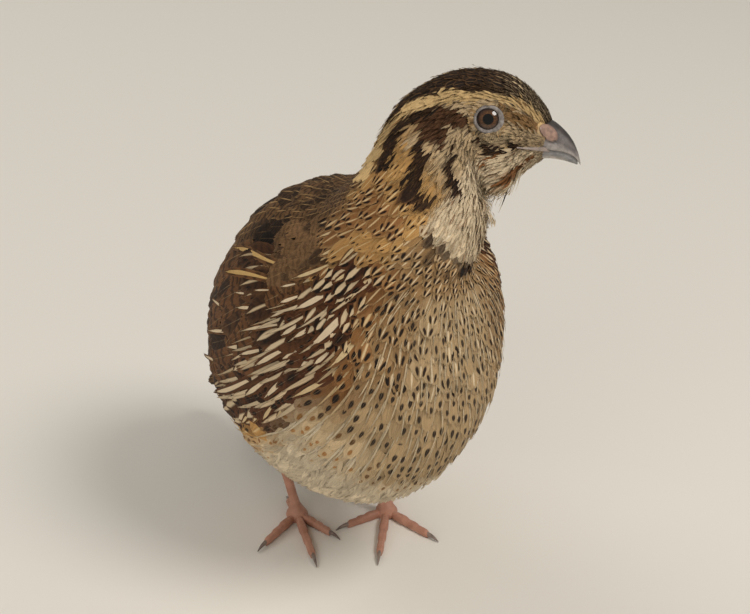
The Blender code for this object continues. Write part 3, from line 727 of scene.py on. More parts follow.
def grain_group():
    """Uneven colour and a fine relief from object coordinates, for skin and horn."""
    tree, given, made = new_group(
        "grain", [("Color A", COLOUR), ("Color B", COLOUR), ("Patch Scale", VALUE), ("Grain Scale", VALUE)],
        [("Color", COLOUR), ("Height", VALUE)])
    take = given.outputs
    place = node(tree, "ShaderNodeTexCoord").outputs["Object"]
    patches = ramp(tree, noise(tree, place, take["Patch Scale"], 3.0), 0.35, 0.65)
    cells = feed(tree, node(tree, "ShaderNodeTexVoronoi"), {"Vector": place, "Scale": take["Grain Scale"]})
    fine = noise(tree, place, take["Grain Scale"], 2.0)
    tree.links.new(blend(tree, patches, take["Color A"], take["Color B"]), made.inputs["Color"])
    tree.links.new(sums(tree, "MULTIPLY_ADD", cells.outputs["Distance"], 0.7, fine), made.inputs["Height"])
    return tree


def new_material(name, roughness, specular):
    """A material with the two numbers of its shine."""
    material = bpy.data.materials.new(name)
    material.use_nodes = True
    tree = material.node_tree
    shader = tree.nodes["Principled BSDF"]
    shader.inputs["Roughness"].default_value = roughness
    shader.inputs["Specular IOR Level"].default_value = specular
    return material, tree, shader


def attribute(tree, name):
    """The outputs that read a mesh's own colours, numbers or vectors."""
    return node(tree, "ShaderNodeAttribute", attribute_name=name).outputs


def add_bump(tree, shader, height, distance, strength):
    """Relief on the shader, as deep as the distance in metres."""
    made = node(tree, "ShaderNodeBump")
    feed(tree, made, {"Height": height, "Distance": distance, "Strength": strength})
    tree.links.new(made.outputs["Normal"], shader.inputs["Normal"])


def plumage_material(name, marks):
    """Feathers: the marks of each vane from the kind that is stored on its points."""
    material, tree, shader = new_material(name, 0.7, 0.15)
    group = node(tree, "ShaderNodeGroup", node_tree=marks)
    colours = {label: attribute(tree, label) for label in ("ground", "shaft", "dark", "rim")}
    feed(tree, group, {
        "Vane": attribute(tree, "vane")["Vector"],
        "Ground": colours["ground"]["Color"], "Streak Width": colours["ground"]["Alpha"],
        "Shaft": colours["shaft"]["Color"], "Spots": colours["shaft"]["Alpha"],
        "Dark": colours["dark"]["Color"], "Bars": colours["dark"]["Alpha"],
        "Rim": colours["rim"]["Color"], "Rim Strength": colours["rim"]["Alpha"]})
    tree.links.new(group.outputs["Color"], shader.inputs["Base Color"])
    add_bump(tree, shader, group.outputs["Height"], 0.00012, 0.8)
    return material


def grained_material(name, grain, colours, scales, shine, bump, over=None):
    """A material in the two colours and the relief of the grain, over which a function may lay more."""
    material, tree, shader = new_material(name, *shine)
    relief = feed(tree, node(tree, "ShaderNodeGroup", node_tree=grain), {
        "Color A": (*colours[0], 1.0), "Color B": (*colours[1], 1.0),
        "Patch Scale": scales[0], "Grain Scale": scales[1]})
    colour = relief.outputs["Color"]
    tree.links.new(over(tree, colour) if over else colour, shader.inputs["Base Color"])
    add_bump(tree, shader, relief.outputs["Height"], *bump)
    return material


def under_coat(tree, lids):
    """The coat's colours on the skin, and the lids' own where it is bare."""
    return blend(tree, attribute(tree, "bare")["Fac"], attribute(tree, "ground")["Color"], lids)


def own_colour(tree, shade):
    """The colours of the vertices, multiplied by the grain's."""
    made = node(tree, "ShaderNodeMix", data_type="RGBA", blend_type="MULTIPLY")
    return feed(tree, made, {0: 1.0, 6: attribute(tree, "ground")["Color"], 7: shade}).outputs[2]


# Feathers
def vane_outline(along, point):
    """Half width of a vane as a share: it widens from the quill, runs straight, then rounds to its tip."""
    start = 0.62 - 0.35 * point
    past = np.clip((along - start) / (1.03 - start), 0, 1)
    return np.minimum(1.0, 0.30 + 1.9 * along) * np.clip(1 - past**2, 0.0004, 1) ** (0.5 + 0.4 * point)


def vane_template(rows, columns, point, comb=0.0):
    """A closed thin vane: rings of top columns and one point under the shaft, every second column drawn
    back near the tip by the comb. Returns across, along, down (as a share of the thickness) and column
    place for each vertex, and the quads."""
    along = 1 - (1 - np.linspace(0, 1, rows)) ** 1.3
    across = np.linspace(-1, 1, columns)
    outline = vane_outline(along, point)
    ring = columns + 1
    place = np.concatenate([across, [0.0]])
    grid_place = np.tile(place, (rows, 1))
    grid_across = grid_place * outline[:, None]
    drawn = comb * (np.append(np.arange(columns) % 2, 1) * 1.0)[None] * np.clip(along - 0.45, 0, 1)[:, None]
    grid_along = along[:, None] - drawn
    grid_down = np.tile(np.concatenate([np.zeros(columns), [1.0]]), (rows, 1))
    sides = grid_faces(rows, ring, True)
    fan = np.array([(columns, j + 2, j + 1, j) for j in range(0, columns - 1, 2)])
    caps = np.concatenate([fan[:, ::-1], fan + (rows - 1) * ring])
    return (grid_across.ravel(), grid_along.ravel(), grid_down.ravel(), grid_place.ravel(),
            np.concatenate([sides, caps])[:, ::-1])


def local_frame(along, around, surface=body_surface):
    """At each place: millimetres to a station, how many stations a radian leans along the lie, and
    millimetres to a radian straight across it."""
    forth, aside = slopes_of(surface, along, around)
    length = np.linalg.norm(forth, axis=-1)
    lean = (forth * aside).sum(-1) / length**2
    across = aside - lean[:, None] * forth
    width = np.linalg.norm(across, axis=-1)
    return length, lean, width


# How ragged a vane's edges are, and the share of the coat's depth at which a quill starts.
RAGGED, QUILL_DEPTH = 0.04, 0.96


def lay_vanes(roots, sizes, template, rng, lift=0.0, swing=0.0, camber=0.06, depth=None,
              thickness=0.06, rise_power=0.7, surface=body_surface, sway=0.06, rough=0.10):
    """Vane points over a surface. Each vertex is moved along and across its root's lie in millimetres,
    turned by the swing, and raised from the skin at the quill to the coat's surface at the tip."""
    along, around = roots
    length, width = sizes
    across_share, along_share, down, place, _ = template
    count, size = len(along), len(across_share)
    per_along, lean, per_around = local_frame(along, around, surface)
    edge = np.clip(np.abs(place) * 1.6 - 0.6, 0, 1) + np.clip(along_share * 5 - 4, 0, 1)
    ragged = rng.normal(0, 1, (count, size)) * RAGGED * np.minimum(edge, 1)
    forth = length[:, None] * (along_share + ragged * np.clip(along_share, 0, 1) ** 3)
    aside = width[:, None] / 2 * across_share * (1 + ragged)
    bend = rng.normal(0, 0.5, count) * sway * length
    aside = aside + bend[:, None] * along_share**2
    angle = swing + rng.normal(0, 1, count) * sway
    turned_forth = forth * np.cos(angle)[:, None] - aside * np.sin(angle)[:, None]
    turned_aside = forth * np.sin(angle)[:, None] + aside * np.cos(angle)[:, None]
    moved_around = turned_aside / per_around[:, None]
    moved_along = turned_forth / per_along[:, None] - lean[:, None] * moved_around
    at_along = np.maximum(along[:, None] + moved_along, 0.0)
    at_around = around[:, None] + moved_around
    points = surface(at_along, at_around)
    normals = normals_of(surface, at_along, at_around)
    root_depth = coat_depth(along) if depth is None else np.full(count, depth)
    tip = lift + rng.normal(0, rough, count) * root_depth
    rise = np.clip(along_share, 0, 1) ** rise_power
    height = -root_depth[:, None] * QUILL_DEPTH + (root_depth * QUILL_DEPTH + tip)[:, None] * rise
    height = height - camber * width[:, None] * place**2 * (0.3 + 0.7 * along_share)
    height = height - thickness * np.sqrt(width)[:, None] * down
    return points + normals * height[..., None]


# The width of a vane's patch on the bake's map, and the angle from which an edge is sharp.
VANE_PATCH, SHARP_FROM = 0.0026, math.radians(75)


def vane_mesh(name, points, template, kinds, roots_on_map, chance):
    """One mesh of all the vanes, with their marks as attributes and their bake patches."""
    count, size = points.shape[:2]
    _, along_share, _, place, quads = template
    faces = (quads + (np.arange(count) * size)[:, None, None]).reshape(-1, 4)
    mesh = mesh_of(name, points.reshape(-1, 3), faces.tolist())
    vane = np.stack([np.tile(place, (count, 1)), np.tile(along_share, (count, 1)),
                     np.repeat(chance[:, None], size, 1)], -1)
    number_attribute(mesh, "vane", vane.reshape(-1, 3))
    for i, label in enumerate(("ground", "shaft", "dark", "rim")):
        colour_attribute(mesh, label, np.repeat(kinds[:, 4 * i:4 * i + 4], size, 0))
    patch = np.stack([place / 2, along_share - 0.5], -1) * VANE_PATCH
    uv_map(mesh, "OFBake", (roots_on_map[:, None] + patch).reshape(-1, 2))
    mesh.set_sharp_from_angle(angle=SHARP_FROM)
    return mesh


# The skin's unwrap: the body from its low edge to BODY_TOP, and above it a patch for each thigh and lid.
MAP_EDGE, BODY_TOP, NO_SEAM = 0.01, 0.84, 9.0
PATCHES = {"thigh_left": 0.02, "thigh_right": 0.27, "lid_left": 0.52, "lid_right": 0.77}
PATCH_WIDTH, PATCH_LOW, PATCH_HIGH = 0.21, 0.87, 0.98


def bake_places(along, around):
    """The body's part of the unwrap: round it across the map, from bill to tail up the map."""
    turn = (np.asarray(around) / (2 * math.pi) + 0.5) % 1.0
    share = np.clip(along, 0, LAST_STATION) / LAST_STATION
    return np.stack([MAP_EDGE + (1 - 2 * MAP_EDGE) * turn, MAP_EDGE + (BODY_TOP - MAP_EDGE) * share], -1)


def patch_places(name, share, turn):
    """The unwrap of a thigh or lid: its turn across its patch, the share up it."""
    return np.stack([PATCHES[name] + PATCH_WIDTH * (np.asarray(turn) % 1.0),
                     PATCH_LOW + (PATCH_HIGH - PATCH_LOW) * np.asarray(share)], -1)


def lengths_along(stations):
    """How long the loft is up to each station: the steps between them, summed, as a mean around it."""
    lines = body_surface(stations[:, None], np.linspace(-math.pi, math.pi, 24, endpoint=False))
    steps = np.linalg.norm(np.diff(lines, axis=0), axis=-1).mean(1)
    return np.concatenate([[0], np.cumsum(steps)])


FINE = np.linspace(0, LAST_STATION, 400)
LENGTHS = lengths_along(FINE)


def staggered(first, last, columns, spacing, rng, jitter=0.22):
    """Roots in rings a spacing apart along the loft's mean length, each ring's columns half a place on
    from the one before, all a little out of true. The spacing is given at the first and last station."""
    start, end = np.interp([first, last], FINE, LENGTHS)
    middle = (spacing[0] + spacing[1]) / 2
    rows = max(2, int(round((end - start) / middle)))
    share = np.linspace(0, 1, rows)
    share = share * (spacing[0] + (spacing[1] - spacing[0]) * share / 2) / middle
    row_along = np.interp(start + (end - start) * share, LENGTHS, FINE)
    column = np.arange(columns)[None] + 0.5 * (np.arange(rows)[:, None] % 2)
    around = (column / columns * 2 - 1) * math.pi
    row_gap = np.gradient(row_along)[:, None]
    along = row_along[:, None] + rng.normal(0, jitter * 0.5, around.shape) * row_gap
    around = around + rng.normal(0, jitter * 0.4, around.shape) * 2 * math.pi / columns
    gap = np.broadcast_to(row_gap, around.shape)
    return np.clip(along, 0.0, LAST_STATION).ravel(), around.ravel(), gap.ravel()


# How far a darkened vane moves to its dark marks, how much the tones differ, how strong the spots are and
# how many vanes have none, and how wide the streaks are, all as shares.
DARKENED, TONES, SPOT_RANGE, SPOTLESS, STREAK_RANGE = (0.4, 0.95), 0.09, (0.55, 1.15), 0.12, (0.75, 1.25)


def shaded(kinds, rng):
    """Each vane's own colours: some are darkened towards the dark mark, and all differ a little."""
    kinds = kinds.copy()
    count = len(kinds)
    darker = (rng.random(count) < kinds[:, 16]) * rng.uniform(*DARKENED, count)
    kinds[:, 0:3] += darker[:, None] * (kinds[:, 8:11] - kinds[:, 0:3])
    tone = rng.normal(1.0, TONES, count)[:, None]
    kinds[:, 0:3] *= tone
    kinds[:, 4:7] *= 1 + 0.5 * (tone - 1)
    kinds[:, 7] *= rng.uniform(*SPOT_RANGE, count) * (rng.random(count) > SPOTLESS * (kinds[:, 7] > 0))
    kinds[:, 3] *= rng.uniform(*STREAK_RANGE, count)
    return kinds


# The share of a vane's length at which its colours are taken from the coat's markings.
SEEN = 0.8


def clear_of_eye(along, around, length):
    """False for vanes that start in the bare ring round the eye or whose tips would reach over it."""
    reach = length / local_frame(along, around)[0]
    keep = np.ones(len(along), bool)
    for share in (0.0, 0.5, 1.0):
        aside, forward, up = from_eye(body_surface(along + reach * share, around)).T
        outside = np.hypot(forward, up) > SOCKET_RADIUS + 0.25
        keep &= outside | (np.abs(aside) < EYE_ASIDE - 1) | (along > 6.0)
    return keep


def wing_share(along, around):
    """One in the middle of the folded wing's patch, easing to nought over its outer third."""
    place = np.clip((along - WING_START) / (WING_END - WING_START), 0, 1) * (len(WING_MIDDLE) - 1)
    middle, spread = curve_through(WING_MIDDLE, place), curve_through(WING_SPREAD, place)
    inside = eased((1 - np.abs(degrees_round(around) - middle) / spread) * 3)
    return inside * within(along, WING_START, WING_END, 0.4)


def over_operculum(forward, up):
    """How far from the operculum's middle a place lies, one at its edge, and how far over its long axis:
    the place turned by the lean, over the half length and the half height."""
    ahead, above = forward - OPERCULUM[0], up - OPERCULUM[1]
    along = (ahead * math.cos(OPERCULUM_LEAN) + above * math.sin(OPERCULUM_LEAN)) / OPERCULUM[2]
    across = (above * math.cos(OPERCULUM_LEAN) - ahead * math.sin(OPERCULUM_LEAN)) / OPERCULUM[3]
    return np.hypot(along, across), across


def bare_face(along, around):
    """True where the face is bare: at the bill, the operculum, the gape and the ring round the eye."""
    _, forward, up = from_eye(body_surface(along, around)).T
    on_operculum = over_operculum(forward, up)[0] < 1 - 0.1 / OPERCULUM[2]
    bill = (forward > 13.6) & (up > -8.6) & (up < -0.6)
    gape = (forward > 7.0) & (np.abs(up + 6.65) < 0.3)
    return (along < 3) & (on_operculum | bill | gape)


def tract(name, stations, columns, spacing, overlap, template, seed, material, slot, widen=1.3, keep=None,
          raised=0.15, **looks):
    """One piece of coat: staggered vanes as long as their rows' gap times the overlap."""
    rng = np.random.default_rng(seed)
    along, around, gap = staggered(*stations, columns, spacing, rng)
    per_along, _, per_around = local_frame(along, around)
    length = np.clip(per_along * gap * overlap, spacing[0] * overlap * 0.6, spacing[1] * overlap * 1.6)
    length = length * rng.uniform(0.88, 1.12, len(along))
    width = per_around * 2 * math.pi / columns * widen * rng.uniform(0.9, 1.1, len(along))
    chosen = clear_of_eye(along, around, length) & ~bare_face(along, around)
    if keep is not None:
        chosen &= keep(along, around)
    along, around, length, width = (values[chosen] for values in (along, around, length, width))
    per_along = per_along[chosen]
    lift = raised + 0.4 * wing_share(along, around)
    points = lay_vanes((along, around), (length, width), template, rng, lift=lift, **looks)
    seen = np.minimum(along + SEEN * length / per_along, LAST_STATION)
    kinds = shaded(coat_kinds(seen, around), rng)
    mesh = vane_mesh(name, points, template, kinds, bake_places(along, around), rng.random(len(along)))
    return piece_of(name, mesh, material)


def laid_between(name, starts, tips, widths, kinds, template, seed, material, slot, hidden, lifts, **looks):
    """One piece of vanes that each run from a start to a tip, given in stations and radians, on both
    sides. The hidden share of each runs on before its start, under its neighbours."""
    rng = np.random.default_rng(seed)
    starts, tips, widths, kinds, lifts = (np.concatenate([values, values])
                                          for values in (starts, tips, widths, kinds, lifts))
    half = len(starts) // 2
    starts[:half, 1] *= -1
    tips[:half, 1] *= -1
    roots = starts - (tips - starts) * hidden / (1 - hidden)
    roots[:, 0] = np.maximum(roots[:, 0], 0.3)
    moved_along, moved_around = (tips - roots).T
    per_along, lean, per_around = local_frame(*roots.T)
    aside, forth = per_around * moved_around, per_along * (moved_along + lean * moved_around)
    points = lay_vanes(roots.T, (np.hypot(aside, forth), widths), template, rng, lift=lifts,
                       swing=np.arctan2(aside, forth), sway=0.0, **looks)
    chance = rng.random(len(roots))
    mesh = vane_mesh(name, points, template, kinds, bake_places(*roots.T), chance)
    return piece_of(name, mesh, material)


# The breast and flanks lie in straight lines: how many go round the body, the mean gap between the roots
# along a line, a vane's length as a share of its line's width, the shortest and longest vane, and how far
# a line turns up towards the back for each station along the flank, in degrees.
LINES_ROUND, LINE_STEP = 82, 3.8
LINE_VANE, SHORTEST, LONGEST, FLANK_RISE, FLANK_START = 4.4, 5.5, 10.5, 6.0, 9.0
# The broad vanes' width as a share of their line's. The pale vanes' length as a share of the broad ones',
# their width as a share of the streak's, the least width, and the share left out on flank and wing.
BROAD, PALE_LENGTH, PALE_WIDTH, LEAST_PALE, THINNED = 1.45, 1.4, 1.35, 0.2, 0.45


def drawn_up(along, around):
    """Turns the lines of the coat up towards the back as they run along the flank."""
    side = within(np.degrees(np.abs(around)), 80.0, 140.0, 60.0)
    return around - np.sign(around) * np.radians(FLANK_RISE) * side * (along - FLANK_START)


def in_lines(first, last, offset, rng):
    """Roots in straight lines down the coat, each line's own rows starting at a place of their own."""
    start, end = np.interp([first, last], FINE, LENGTHS)
    rows = int(round((end - start) / LINE_STEP))
    share = np.arange(rows)[:, None] + rng.random(LINES_ROUND) + rng.normal(0, 0.07, (rows, LINES_ROUND))
    along = np.interp(start + (end - start) * share / rows, LENGTHS, FINE)
    around = ((np.arange(LINES_ROUND) + offset) / LINES_ROUND * 2 - 1) * math.pi
    around = around + rng.normal(0, 0.08, along.shape) * 2 * math.pi / LINES_ROUND
    return along.ravel(), around.ravel()


def on_breast(along, around):
    """True on the breast, belly and flanks: up to the wing behind, and only in front at the neck."""
    return degrees_round(around) > np.interp(along, (7.4, 7.8, 8.8, 9.4), (128.0, 112.0, 104.0, 84.0))


def add_breast(material):
    """Lines of broad vanes with one dark spot each, and over the seams between them narrow pale vanes
    end to end, which widen into streaks on the flank and also lie over the edge of the wing."""
    step = 0.1
    for name, offset, pale, seed in (("coat_breast", 0.0, False, 14), ("coat_breast_lines", 0.5, True, 18)):
        rng = np.random.default_rng(seed)
        along, line = in_lines(7.2, 13.4, offset, rng)
        around = drawn_up(along, line)
        rise = drawn_up(along + step, line) - around
        per_along, lean, per_around = local_frame(along, around)
        swing = np.arctan2(per_around * rise, per_along * (step + lean * rise))
        column = per_around * 2 * math.pi / LINES_ROUND
        length = np.clip(column * LINE_VANE, SHORTEST, LONGEST) * rng.uniform(0.9, 1.1, len(along))
        tip = along + SEEN * length / per_along
        kinds = coat_kinds(tip, drawn_up(tip, line))
        over_wing = wing_share(tip, drawn_up(tip, line))
        chosen = on_breast(along, around) & (rng.random(len(along)) > THINNED * over_wing * pale)
        if pale:
            template, length = vane_template(10, 5, 0.75), length * PALE_LENGTH
            width, lift = column * kinds[:, 3] * PALE_WIDTH, 0.28 + 1.5 * over_wing
            bold = eased((kinds[:, 3] - 0.16) / 0.12)
            chosen &= (width > LEAST_PALE) & (rng.random(len(along)) > THINNED * bold)
            kinds[:, 12:15] = kinds[:, 0:3] * 0.6 + kinds[:, 4:7] * 0.4
            kinds[:, 0:3] = kinds[:, 4:7]
            kinds[:, 15] = 0.35 + 0.6 * bold
            kinds[:, [3, 7, 11, 16]] = 0
        else:
            template = vane_template(9, 7, 0.3, 0.1)
            width, lift = column * BROAD, 0.1 + 0 * over_wing
            kinds[:, 3] = 0
            kinds[:, 15] *= 0.5
        along, around, length, width, kinds, lift, swing = (
            values[chosen] for values in (along, around, length, width, kinds, lift, swing))
        points = lay_vanes((along, around), (length, width), template, rng, lift=lift, swing=swing,
                           rise_power=0.4, thickness=0.04, sway=0.04)
        mesh = vane_mesh(name, points, template, shaded(kinds, rng), bake_places(along, around),
                         rng.random(len(along)))
        piece_of(name, mesh, material)


def add_streaks(material):
    """The long feathers of flank and shoulder whose pale shaft streaks stand out."""
    from_along, from_around, to_along, to_around, half = np.array([row[1:] for row in STREAKS], float).T
    starts = np.stack([from_along, np.radians(from_around)], -1)
    tips = np.stack([to_along, np.radians(to_around)], -1)
    looks = np.array([STREAK_LOOKS[row[0]] for row in STREAKS])
    kinds = coat_kinds(*tips.T)
    kinds[:, 3:7], kinds[:, 7], kinds[:, 16] = looks[:, :4], np.minimum(kinds[:, 7], MOST_SPOTS), 0
    lifts = 0.35 + 1.5 * wing_share(tips[:, 0] - 0.3, tips[:, 1]) + 0.1 * (np.arange(len(STREAKS)) % 3)
    laid_between("coat_streaks", starts, tips + (tips - starts) * STREAK_REACH, half * 2 * STREAK_VANE, kinds,
                 vane_template(14, 13, 0.1, 0.05), 31, material, "body_plumage", STREAK_HIDDEN,
                 lifts + looks[:, 4], camber=0.05, depth=2.0)


# Rows of the folded wing: kind, stations and degrees of the first and last root, of the first and last
# tip, how many, their width and how far they lie over the body.
WING_ROWS = (
    ("covert", (12.9, 88.0), (12.6, 74.0), (15.9, 66.0), (15.7, 54.0), 5, 6.5, 0.35),
    ("covert", (12.3, 84.0), (12.0, 58.0), (14.9, 70.0), (14.9, 44.0), 7, 8.5, 0.6),
    ("mantle", (12.2, 62.0), (11.8, 38.0), (15.1, 46.0), (14.8, 26.0), 5, 10.0, 0.9),
    ("covert", (11.7, 92.0), (11.4, 50.0), (13.2, 82.0), (13.2, 42.0), 9, 7.5, 1.1),
    ("covert", (10.9, 95.0), (10.7, 54.0), (12.1, 90.0), (12.1, 48.0), 9, 7.0, 1.2),
    ("side", (10.1, 97.0), (10.0, 60.0), (11.2, 94.0), (11.2, 56.0), 8, 6.5, 1.2),
)


def add_wings(material):
    """The folded wings: rows of long vanes, each row lying over the roots of the one behind. Roots and
    tips are shared out evenly between the row's first and last, and the tips are a little out of true."""
    rows = []
    rng = np.random.default_rng(41)
    for name, first_root, last_root, first_tip, last_tip, count, width, lift in WING_ROWS:
        roots = np.linspace(first_root, last_root, count)
        tips = np.linspace(first_tip, last_tip, count) + rng.normal(0, (0.07, 1.0), (count, 2))
        roots[:, 1], tips[:, 1] = np.radians(roots[:, 1]), np.radians(tips[:, 1])
        kinds = coat_kinds(tips[:, 0] - 0.2, tips[:, 1]) * 0.5 + KINDS[name] * 0.5
        rows.append((roots, tips, np.full(count, width), kinds, lift + np.linspace(0, 0.25, count)))
    roots, tips, widths, kinds, lifts = (np.concatenate(values) for values in zip(*rows))
    laid_between("coat_wings", roots, tips, widths, shaded(kinds, rng), vane_template(18, 13, 0.25, 0.03), 42,
                 material, "wing_plumage", 0.05, lifts, camber=0.06, depth=1.2)


def on_top(along, around):
    """True on the crown and the hind neck, over the pale brow."""
    return degrees_round(around) < crown_edge(along) - FEATHER_EDGE


# Bristles that hang from the chin, the dark one first: forward and up from the eye, aside, length and half
# thickness.
BRISTLES = (
    (5.0, -15.0, 0.3, 6.8, 0.24), (6.6, -14.0, -0.7, 3.6, 0.13), (4.3, -15.4, -1.0, 5.0, 0.13),
    (3.2, -15.8, 1.2, 4.4, 0.12), (7.5, -13.4, 0.5, 3.2, 0.12), (2.2, -16.2, -0.4, 4.2, 0.13),
    (5.8, -14.6, 1.5, 3.0, 0.11), (3.8, -15.6, -2.0, 3.4, 0.12),
)
DARK_BRISTLES, BRISTLE_RINGS, BRISTLE_SIDES = 1, 12, 6
BRISTLE_PALE, BRISTLE_DARK, BRISTLE_TIP = (0.62, 0.50, 0.34), (0.015, 0.010, 0.008), (0.62, 0.52, 0.40)


def bristle_rings(forward, up, aside, length, half):
    """A thin shaft that hangs down from the chin: it drifts back by its share and its square, and thins
    by the square."""
    share = np.linspace(0, 1, BRISTLE_RINGS)
    path = np.stack([aside + 0 * share, forward - length * (0.28 * share + 0.12 * share**2) + 0.6,
                     up + 1.4 - (length + 1.4) * share], -1)
    turn = np.linspace(0, 2 * math.pi, BRISTLE_SIDES, endpoint=False)
    size = half * (1 - share**2 * 0.85)
    ring = np.stack([np.cos(turn), np.sin(turn), 0 * turn], -1)
    return on_head(path[:, None] + size[:, None, None] * ring[None])


def add_bristles(material):
    """The chin's bristles: pale ones, and the dark ones that end in a pale tip."""
    mesh = joined("chin_bristles", [bristle_rings(*row) for row in BRISTLES])
    share = np.append(np.repeat(np.linspace(0, 1, BRISTLE_RINGS), BRISTLE_SIDES), [0, 1])
    dark = mix_rows(np.tile(BRISTLE_DARK, (len(share), 1)), BRISTLE_TIP, eased((share - 0.62) * 3.5))
    pale = np.tile(BRISTLE_PALE, (len(share) * (len(BRISTLES) - DARK_BRISTLES), 1))
    colour_attribute(mesh, "ground", np.concatenate([dark] * DARK_BRISTLES + [pale]))
    forward, up = np.array(BRISTLES)[:, :2].T
    roots = bake_places(*place_on_head(forward, up + 2.0, 1))
    patch = np.stack([0 * share, (share - 0.5) * VANE_PATCH], -1)
    uv_map(mesh, "OFBake", (roots[:, None] + patch).reshape(-1, 2))
    piece_of("chin_bristles", mesh, material)


# How many vanes hang loose at the throat and under the belly, and how many stand in a ring round an eye.
THROAT_VANES, BELLY_STRANDS, FRINGE = 520, 3000, 64


def add_throat(material):
    """The loose whiskery feathers of cheek and throat, longer and narrower than the rest of the face. They
    stand out most under the throat."""
    rng = np.random.default_rng(51)
    count = THROAT_VANES
    along = rng.uniform(0.9, 4.7, count)
    around = math.pi + np.radians(rng.uniform(-64, 64, count))
    template = vane_template(6, 3, 0.8)
    length = rng.uniform(3.0, 5.2, count) * (0.65 + 0.35 * eased((along - 0.9) / 2))
    width = rng.uniform(0.45, 0.9, count)
    chosen = ~bare_face(along, around)
    along, around, length, width = (values[chosen] for values in (along, around, length, width))
    under = eased((np.cos(np.pi - np.abs(around)) - 0.55) / 0.35) * eased((along - 1.2) / 1.2)
    lift = rng.uniform(0.1, 0.6, len(along)) + rng.uniform(0.2, 2.0, len(along)) * under
    points = lay_vanes((along, around), (length, width), template, rng, lift=lift, sway=0.13, camber=0.1)
    kinds = shaded(coat_kinds(along + 0.2, around), rng)
    mesh = vane_mesh("coat_throat", points, template, kinds, bake_places(along, around),
                     rng.random(len(along)))
    piece_of("coat_throat", mesh, material)


def add_belly_fluff(material):
    """Loose downy strands over the belly, under the tail and round the legs."""
    rng = np.random.default_rng(55)
    count, template = BELLY_STRANDS, vane_template(6, 3, 0.7)
    along = rng.uniform(11.6, 16.2, count)
    around = math.pi + np.radians(rng.uniform(-80, 80, count))
    pale = coat_kinds(along, around)[:, 2] > 0.17 + 0.12 * rng.random(count)
    along, around = along[pale], around[pale]
    length, width = rng.uniform(5.0, 9.0, len(along)), rng.uniform(0.7, 1.5, len(along))
    points = lay_vanes((along, around), (length, width), template, rng,
                       lift=rng.uniform(0.2, 0.7, len(along)), sway=0.16, depth=1.2)
    kinds = coat_kinds(along + 0.3, around)
    kinds[:, 7] = 0
    mesh = vane_mesh("coat_belly_down", points, template, shaded(kinds, rng), bake_places(along, around),
                     rng.random(len(along)))
    piece_of("coat_belly_down", mesh, material)


def add_eye_fringe(material):
    """Small feathers in two rings round each bare lid, lying outwards and back from it."""
    rng = np.random.default_rng(61)
    template = vane_template(4, 3, 0.6)
    turn = np.linspace(0, 2 * math.pi, FRINGE, endpoint=False)
    angle = np.concatenate([turn, turn + 0.05])
    radius = np.repeat([3.35, 3.75], FRINGE) + rng.normal(0, 0.06, 2 * FRINGE)
    forward, up = radius * np.cos(angle), radius * np.sin(angle)
    ahead = unit(np.stack([np.cos(angle) - 0.5, np.sin(angle)], -1)) * 1.1
    parts = []
    for side in SIDES.values():
        along, around = place_on_head(forward, up, side)
        to_along, to_around = place_on_head(forward + ahead[:, 0], up + ahead[:, 1], side)
        per_along, lean, per_around = local_frame(along, around)
        moved_around = to_around - around
        aside, forth = per_around * moved_around, per_along * (to_along - along + lean * moved_around)
        length = np.clip(np.hypot(aside, forth), 0.6, 1.5)
        points = lay_vanes((along, around), (length, np.full(2 * FRINGE, 0.5)), template, rng,
                           swing=np.arctan2(aside, forth), lift=0.0, depth=0.3, sway=0.1)
        kinds = coat_kinds(to_along, to_around)
        kinds[rng.random(2 * FRINGE) < 0.65] = KINDS["lore"] * 0.5 + KINDS["middle"] * 0.5
        parts.append((points, shaded(kinds, rng), bake_places(along, around)))
    points, kinds, places = (np.concatenate(values) for values in zip(*parts))
    mesh = vane_mesh("coat_eye_rings", points, template, kinds, places, rng.random(len(points)))
    piece_of("coat_eye_rings", mesh, material)


# How far around from the middle of the back the mantle's feathers reach, in degrees.
MANTLE_EDGE = 96.0


def behind_breast(along, around):
    """True over the back, and a little way under the upper edge of the breast's lines."""
    return degrees_round(around) < MANTLE_EDGE


def add_coat(material):
    """The coat from bill to tail: even tracts first, then the breast's lines and the long and loose vanes."""
    face = vane_template(5, 3, 0.6)
    small = vane_template(8, 9, 0.3, 0.12)
    large = vane_template(11, 13, 0.3, 0.10)
    tract("coat_face", (0.02, 3.2), 190, (0.6, 0.85), 3.2, face, 11, material, "head_plumage",
          widen=1.5, sway=0.13, rough=0.25)
    tract("coat_cheeks", (3.1, 6.2), 190, (0.85, 1.1), 3.2, face, 12, material, "head_plumage",
          widen=1.5, sway=0.12, rough=0.25)
    tract("coat_crown", (1.7, 7.2), 30, (1.3, 1.7), 2.2, small, 17, material, "head_plumage",
          widen=1.15, keep=on_top, raised=0.3, depth=0.3)
    tract("coat_neck", (5.9, 9.3), 36, (1.5, 2.3), 3.4, small, 13, material, "neck_plumage", widen=1.2,
          rise_power=0.45)
    tract("coat_mantle", (9.0, 12.4), 28, (2.5, 3.2), 3.8, large, 19, material, "body_plumage",
          widen=1.1, rise_power=0.38, thickness=0.04, keep=behind_breast)
    add_breast(material)
    tract("coat_belly_and_back", (12.2, 16.2), 28, (3.2, 3.8), 3.4, large, 15, material, "body_plumage",
          widen=1.15, rise_power=0.38, thickness=0.04)
    tract("coat_tail", (15.9, 18.6), 26, (3.2, 3.0), 3.2, large, 16, material, "tail_plumage")
    add_streaks(material)
    add_wings(material)
    add_throat(material)
    add_belly_fluff(material)
    add_eye_fringe(material)


